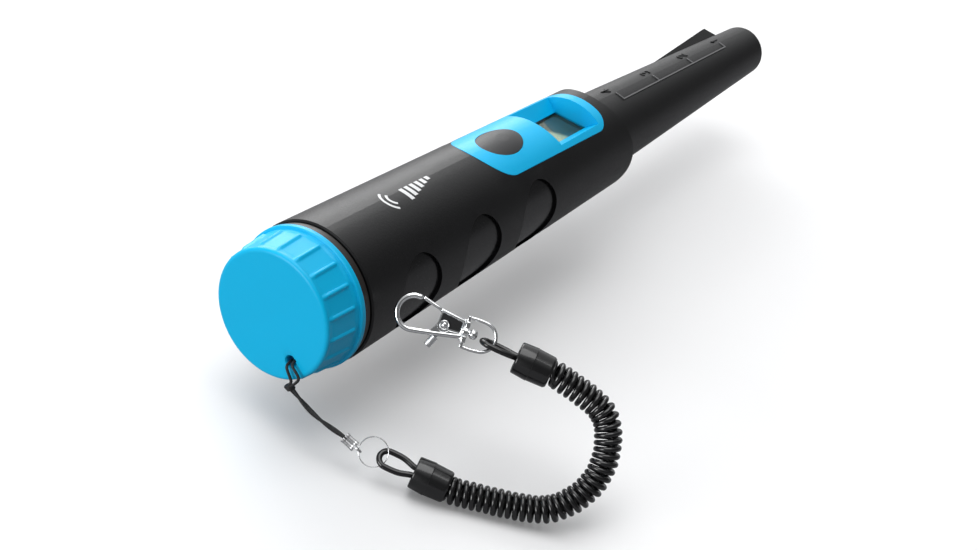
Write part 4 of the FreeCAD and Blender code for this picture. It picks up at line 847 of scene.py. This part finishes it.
def clasp_hook():
    """Die-cast body with a recessed panel, the hook's wire, rivet, collar and swivel post, and a
    near-black sheet of painted shade in the recess.
    """
    base = prism([(1.0, -2.6), (7.8, -3.7), (7.86, -2.56), (7.95, -0.4), (8.75, 1.4),
                  (9.6, 2.9), (4.6, 2.1), (1.0, 1.6)], -0.45, 0.1)
    raised = prism([(1.15, 0.85), (4.55, 1.05), (5.3, 1.75), (6.4, 1.95), (7.5, 1.35),
                    (8.0, 0.2), (8.72, 1.45), (9.5, 2.8), (4.6, 2.3), (1.15, 1.8)], 0.0, 0.6)
    hook = sweep(hook_curve(), HOOK_WIRE, 20)
    upper = sweep([Vector((0.95, -2.72, 0)), Vector((4.4, -3.2, 0)), Vector((7.75, -3.72, 0))],
                  0.52, 16)
    collar = sweep([Vector((1.0, -2.6, 0)), Vector((0.95, 0, 0)), Vector((0.8, 2.2, 0))], 0.5, 16)
    balls = [upright([(-0.42, 0.05), (-0.33, 0.26), (0, 0.42), (0.33, 0.26), (0.42, 0.05)], 20,
                     place) for place in ((0.9, -2.95), (0.62, 2.5))]
    shank = upright([(-1.1, 0.05), (-1.1, 0.6), (0.6, 0.6), (0.6, 0.05)], 28, RIVET)
    rim = upright([(0.1, 0.9), (0.1, 1.5), (0.5, 1.46), (0.72, 1.25), (0.72, 1.1), (0.5, 0.95)],
                  40, RIVET)
    head = upright([(0.1, 0.05), (0.1, 0.9), (0.55, 0.88), (0.85, 0.6), (0.95, 0.3), (0.97, 0.05)],
                   32, RIVET)
    post = lathe([(1.0, 0.1), (1.0, 0.88), (-1.35, 0.88), (-1.5, 1.1), (-1.75, 1.34),
                  (-2.3, 1.4), (-2.9, 1.34), (-3.3, 1.05), (-3.5, 0.6), (-3.55, 0.1)], 36)
    verts, faces, uvs = join(base, raised, hook, upper, collar, *balls, shank, rim, head, post)
    piece = mesh_object("clasp_body", verts, faces, CLASP_PLACE, uvs, sharp=50)
    finish_piece(piece, "chrome", "clasp", "clasp_hook", "gate_rivet")
    soften_edges(piece, 0.16, 55)
    # A thin near-black sheet laid in the body's recess: painted shade.
    shade_sheet_outline = prism([(1.45, -2.2), (7.3, -3.1), (7.45, -1.6), (7.45, 0.4), (6.6, 1.3), (5.6, 1.2),
                   (4.7, 0.6), (1.45, 0.45)], 0.0, 0.16)
    shade_sheet = mesh_object("clasp_recess_painted_shade", *shade_sheet_outline, CLASP_PLACE)
    paint(shade_sheet, RECESS_SHADE)
    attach(shade_sheet, "clasp")


def clasp_gate():
    """Sprung gate: the closing bar, a plate behind the body, and a ridged thumb lever."""
    bar = sweep(curve_through([Vector((6.2, -1.2, -1.0)), Vector((7.2, -3.0, -0.75)),
                               Vector((8.35, -3.9, 0)), Vector((11.0, -4.67, 0)),
                               Vector((13.3, -5.36, 0))], 6), 0.5, 16)
    plate = upright([(-1.3, 0.62), (-1.3, 1.5), (-0.75, 1.5), (-0.75, 0.62)], 36, RIVET)
    lever = prism([(5.2, 0.8), (7.4, 0.4), (8.75, 3.6), (9.0, 5.2), (7.5, 5.4), (7.0, 3.9)],
                  -1.3, -0.75)
    rows = [(-1.7, 0.1), (-1.68, 0.7)]
    rows += [(-1.6 + 0.05 * k, 0.98 + 0.09 * math.sin(2 * math.pi * k / 10)) for k in range(62)]
    rows += [(1.62, 0.85), (1.7, 0.5), (1.72, 0.1)]
    lean = Matrix.Translation(Vector((8.28, 5.35, -0.35))) @ Matrix.Rotation(math.radians(66), 4, "Z")
    thumb = moved(lathe(rows, 28), lean @ Matrix.Diagonal(Vector((1, 1.05, 0.8, 1))))
    verts, faces, uvs = join(bar, plate, lever, thumb)
    piece = mesh_object("clasp_gate_bar", verts, faces, CLASP_PLACE, uvs, sharp=50)
    finish_piece(piece, "chrome", "gate", "clasp_gate")
    soften_edges(piece, 0.12, 55)


def swivel_eye():
    """D-shaped wire eye with a cross bar, two bearing blocks and a ring round the post."""
    reach = EYE_LENGTH - EYE_HALF
    points = [Vector((0, EYE_HALF, 0)), Vector((reach * 0.5, EYE_HALF * 1.03, 0))]
    for step in range(9):
        angle = math.pi * (0.5 - step / 8)
        points.append(Vector((reach + EYE_HALF * math.cos(angle),
                              EYE_HALF * math.sin(angle), 0)))
    points += [Vector((reach * 0.5, -EYE_HALF * 1.03, 0)), Vector((0, -EYE_HALF, 0))]
    bow = sweep(curve_through(points, 7), EYE_WIRE, 16)
    parts = [bow]
    for side in (-1, 1):
        low, high = sorted((side * 1.15, side * 2.95))
        parts.append(prism([(-0.42, low), (0.8, low), (0.8, high), (-0.42, high)], -1.15, 1.15))
        low, high = sorted((side * 2.95, side * (EYE_HALF + 0.45)))
        parts.append(prism([(-0.45, low), (0.45, low), (0.45, high), (-0.45, high)], -0.6, 0.6))
    ring = lathe([(-0.7, 0.97), (-0.7, 1.5), (0.7, 1.5), (0.7, 0.97)], 36)
    hollow = (ring[0], ring[1][:-2] + [(3 * 36 + k, 3 * 36 + (k + 1) % 36, (k + 1) % 36, k)
                                       for k in range(36)])
    verts, faces, uvs = join(*parts, hollow)
    piece = mesh_object("clasp_swivel_eye", verts, faces, EYE_PLACE, uvs, sharp=50)
    finish_piece(piece, "chrome", "eye", "swivel_eye")
    soften_edges(piece, 0.2, 55)


lanyard_cord()
clasp_hook()
clasp_gate()
swivel_eye()
crimp()
split_ring()
cord_loop("near_cord_loop", "near_loop", "near_end", NEAR, NEAR_TILT)
cord_loop("far_cord_loop", "far_loop", "far_end", FAR, FAR_TILT)
ferrule("near_end_ferrule", "near_ferrule", "near_end", NEAR)
ferrule("far_end_ferrule", "far_ferrule", "far_end", FAR)
coil_cord()


# ---- marks on the tapered surfaces ----------------------------------------------------------------

def barrel_radius(x):
    """Radius of the handle at x."""
    return 21.45 - (21.45 - 17.83) * (x - 17.74) / (168.0 - 17.74)


def sleeve_radius(x):
    """Radius of the probe sleeve at x."""
    return 14.27 - (14.27 - 9.03) * (x - 154.6) / (279.4 - 154.6)


RULER_FIRST, RULER_PITCH, RULER_ANGLE, TICK_SPAN = 177.7, 25.4, 17.0, 15.0
RULER_WIDTH, RULER_LIFT, TICKS = 0.42, 0.33, 4
DIGIT_HEIGHT, DIGIT_WIDTH, DIGIT_STROKE, DIGIT_LIFT = 4.4, 2.7, 0.5, 0.3
SIGNAL_X, SIGNAL_PITCH, SIGNAL_WIDTH, PRINT_LIFT = 66.0, 2.5, 1.5, 0.035
ARC_X, ARC_ANGLE, ARC_SPREAD, ARC_WIDTH = 48.5, 4.2, 58, 0.8
RIBBON_ROOT = -0.3


def on_surface(x, angle, radius_at, lift):
    """A point at an angle from the top, towards -Y, lifted off a tapered surface."""
    r = radius_at(x) + lift
    return Vector((x, -r * math.sin(angle), r * math.cos(angle)))


def ribbon(points, width, radius_at, lift):
    """A raised stroke with straight walls along (x, angle) points on a tapered surface."""
    verts, faces = [], []
    count = len(points)
    flat = [Vector((x, angle * radius_at(x))) for x, angle in points]
    for i, spot in enumerate(flat):
        before = flat[max(i - 1, 0)]
        after = flat[min(i + 1, count - 1)]
        heading = (after - before).normalized()
        side = Vector((-heading.y, heading.x)) * (width / 2)
        for place, high in ((spot - side, RIBBON_ROOT), (spot - side, lift), (spot + side, lift),
                            (spot + side, RIBBON_ROOT)):
            verts.append(on_surface(place.x, place.y / radius_at(place.x), radius_at, high))
    for i in range(count - 1):
        low, high = i * 4, i * 4 + 4
        for k in range(4):
            after = (k + 1) % 4
            faces.append((low + k, low + after, high + after, high + k))
    faces.append((3, 2, 1, 0))
    last = (count - 1) * 4
    faces.append((last, last + 1, last + 2, last + 3))
    return verts, faces


def signal_mark():
    """Printed generic mark: rising signal bars and two arcs."""
    strokes = []
    for number in range(6):
        x = SIGNAL_X - number * SIGNAL_PITCH
        top = 1.6 + number * 0.75
        low = math.radians(-1.5)
        points = [(x, low + (top / barrel_radius(x)) * k / 6) for k in range(7)]
        strokes.append(ribbon(points, SIGNAL_WIDTH, barrel_radius, PRINT_LIFT))
    for radius in (2.6, 4.6):
        points = []
        for k in range(13):
            a = math.radians(-ARC_SPREAD + 2 * ARC_SPREAD * k / 12)
            points.append((ARC_X - radius * math.cos(a),
                           math.radians(ARC_ANGLE) + radius * math.sin(a) / barrel_radius(ARC_X)))
        strokes.append(ribbon(points, ARC_WIDTH, barrel_radius, PRINT_LIFT))
    verts, faces, _ = join(*strokes)
    mark = mesh_object("signal_mark", verts, faces)
    paint(mark, PRINT_WHITE)
    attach(mark, "handle")


DIGITS = {
    1: [[(0.25, 0.78), (0.52, 1.0), (0.52, 0.0)]],
    2: [[(0.1, 0.78), (0.25, 0.95), (0.5, 1.0), (0.76, 0.93), (0.86, 0.72), (0.72, 0.48),
         (0.1, 0.0), (0.92, 0.0)]],
    3: [[(0.12, 0.9), (0.42, 1.0), (0.75, 0.92), (0.82, 0.74), (0.7, 0.58), (0.42, 0.53)],
        [(0.42, 0.53), (0.76, 0.46), (0.87, 0.26), (0.74, 0.06), (0.42, 0.0), (0.1, 0.1)]],
    4: [[(0.7, 0.0), (0.7, 1.0), (0.08, 0.3), (0.95, 0.3)]],
}


def ruler_digits():
    """Embossed figures beside the rule's ticks, read from the handle's side."""
    strokes = []
    for digit, x in ((4, 176.0), (3, 202.5), (2, 229.0), (1, 254.0)):
        middle = math.radians(-10.5)
        for line in DIGITS[digit]:
            dense = curve_through([Vector((u, v, 0)) for u, v in line], 1)
            points = [(x + DIGIT_HEIGHT / 2 - p.y * DIGIT_HEIGHT,
                       middle - (p.x - 0.5) * DIGIT_WIDTH / sleeve_radius(x)) for p in dense]
            strokes.append(ribbon(points, DIGIT_STROKE, sleeve_radius, DIGIT_LIFT))
    verts, faces, _ = join(*strokes)
    digits = mesh_object("ruler_digits", verts, faces)
    paint(digits, SURFACES["black_shell"])
    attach(digits, "handle")


def ruler_lines_painted_highlight():
    """The rule's raised line and its four ticks, painted light grey as a highlight on their tops."""
    tilt, reach = math.radians(RULER_ANGLE), math.radians(TICK_SPAN)
    length = (TICKS - 1) * RULER_PITCH + 0.5
    line = [(RULER_FIRST - 0.25 + length * k / 12, tilt) for k in range(13)]
    strokes = [ribbon(line, RULER_WIDTH, sleeve_radius, RULER_LIFT)]
    for number in range(TICKS):
        x = RULER_FIRST + RULER_PITCH * number
        tick = [(x, tilt - reach * k / 6) for k in range(7)]
        strokes.append(ribbon(tick, RULER_WIDTH, sleeve_radius, RULER_LIFT))
    verts, faces, _ = join(*strokes)
    edges = mesh_object("ruler_lines_painted_highlight", verts, faces)
    paint(edges, RULE_HIGHLIGHT)
    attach(edges, "handle")


signal_mark()
ruler_digits()
ruler_lines_painted_highlight()


# ---- rounded edges on carried-over pieces -----------------------------------------------------------

soften_edges(NODES["power_button"], 0.35)
soften_edges(NODES["display_bezel"], 0.18)


# ---- stage, light and camera ----------------------------------------------------------------------

CENTRE = Vector((0.11, -0.02, 0.0))
FLOOR_HALF, FLOOR_GAP = 3.0, 0.0005
EYE_AT, FOCAL_LENGTH, SENSOR_WIDTH = Vector((-375.416, -251.399, 310.334)), 73.62, 36.0


def floor():
    """Large pale floor just under the lowest point."""
    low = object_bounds()[0][2]
    mesh = bpy.data.meshes.new("floor")
    half = FLOOR_HALF
    mesh.from_pydata([(-half, -half, 0), (half, -half, 0), (half, half, 0), (-half, half, 0)], [],
                     [(0, 1, 2, 3)])
    plane = bpy.data.objects.new("floor", mesh)
    plane.location = (0, 0, low - FLOOR_GAP)
    bpy.context.scene.collection.objects.link(plane)
    look = Finish("pale_floor", (0.86, 0.86, 0.865), 0.9, grain=300.0, bump=0.01, spread=0.006,
                  broad=6.0, specular=0.1)
    seen = add(look.tree, "LightPath").outputs["Is Camera Ray"]
    shown = add(look.tree, "Mix", {"Factor": seen, 6: (0.3, 0.3, 0.31, 1.0), 7: look.colour},
                data_type="RGBA")
    look.set(**{"Base Color": shown.outputs[2]})
    mesh.materials.append(look.material)
    plane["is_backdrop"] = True


def area_light(name, direction, distance, size, energy):
    """A square soft light that faces the object."""
    light = bpy.data.lights.new(name, "AREA")
    light.energy, light.size = energy, size
    lamp = bpy.data.objects.new(name, light)
    away = Vector(direction).normalized()
    lamp.location = CENTRE + away * distance
    lamp.rotation_euler = away.to_track_quat("Z", "Y").to_euler()
    bpy.context.scene.collection.objects.link(lamp)


def world():
    """Dim surroundings with three brighter patches for the metal to mirror."""
    surroundings = bpy.data.worlds.new("studio")
    bpy.context.scene.world = surroundings
    surroundings.use_nodes = True
    tree = surroundings.node_tree
    sky = tree.nodes["Background"]
    sky.inputs["Color"].default_value = (0.98, 0.99, 1.0, 1.0)
    heading = add(tree, "TexCoord").outputs["Generated"]
    glow = 0.16
    for toward, low, high, gain in (((0.62, 0.72, 0.3), 0.35, 0.95, 0.8),
                                    ((0.0, 0.1, 1.0), 0.55, 0.95, 0.5),
                                    ((-0.9, 0.45, 0.1), 0.6, 0.98, 0.4)):
        facing = add(tree, "VectorMath", {0: heading, 1: Vector(toward).normalized()},
                     operation="DOT_PRODUCT").outputs["Value"]
        patch = add(tree, "MapRange", {"Value": facing, "From Min": low, "From Max": high,
                                       "To Min": 0.0, "To Max": gain},
                    interpolation_type="SMOOTHSTEP").outputs[0]
        glow = calc(tree, "ADD", patch, glow)
    tree.links.new(glow, sky.inputs["Strength"])


def camera():
    """The photograph's viewing angle."""
    right = Vector((0.55564737, -0.80387561, 0.21222629))
    down = Vector((-0.34480849, -0.45507773, -0.82098195))
    forward = Vector((0.75654683, 0.38299904, -0.53004588))
    data = bpy.data.cameras.new("camera")
    data.lens, data.sensor_width = FOCAL_LENGTH, SENSOR_WIDTH
    data.clip_start, data.clip_end = 0.01, 20.0
    eye = bpy.data.objects.new("camera", data)
    turn = Matrix((right, -down, -forward)).transposed().to_4x4()
    eye.matrix_world = Matrix.Translation(EYE_AT * MM) @ turn
    bpy.context.scene.collection.objects.link(eye)
    bpy.context.scene.camera = eye


floor()
world()
area_light("back_left", (0.6, 0.85, 0.5), 1.1, 0.8, 7.0)
area_light("overhead", (-0.1, 0.1, 1.0), 1.2, 1.0, 8.0)
area_light("front", (-1.0, 0.3, 0.12), 1.3, 0.7, 11.0)
camera()
bpy.context.scene.view_settings.view_transform = "Standard"
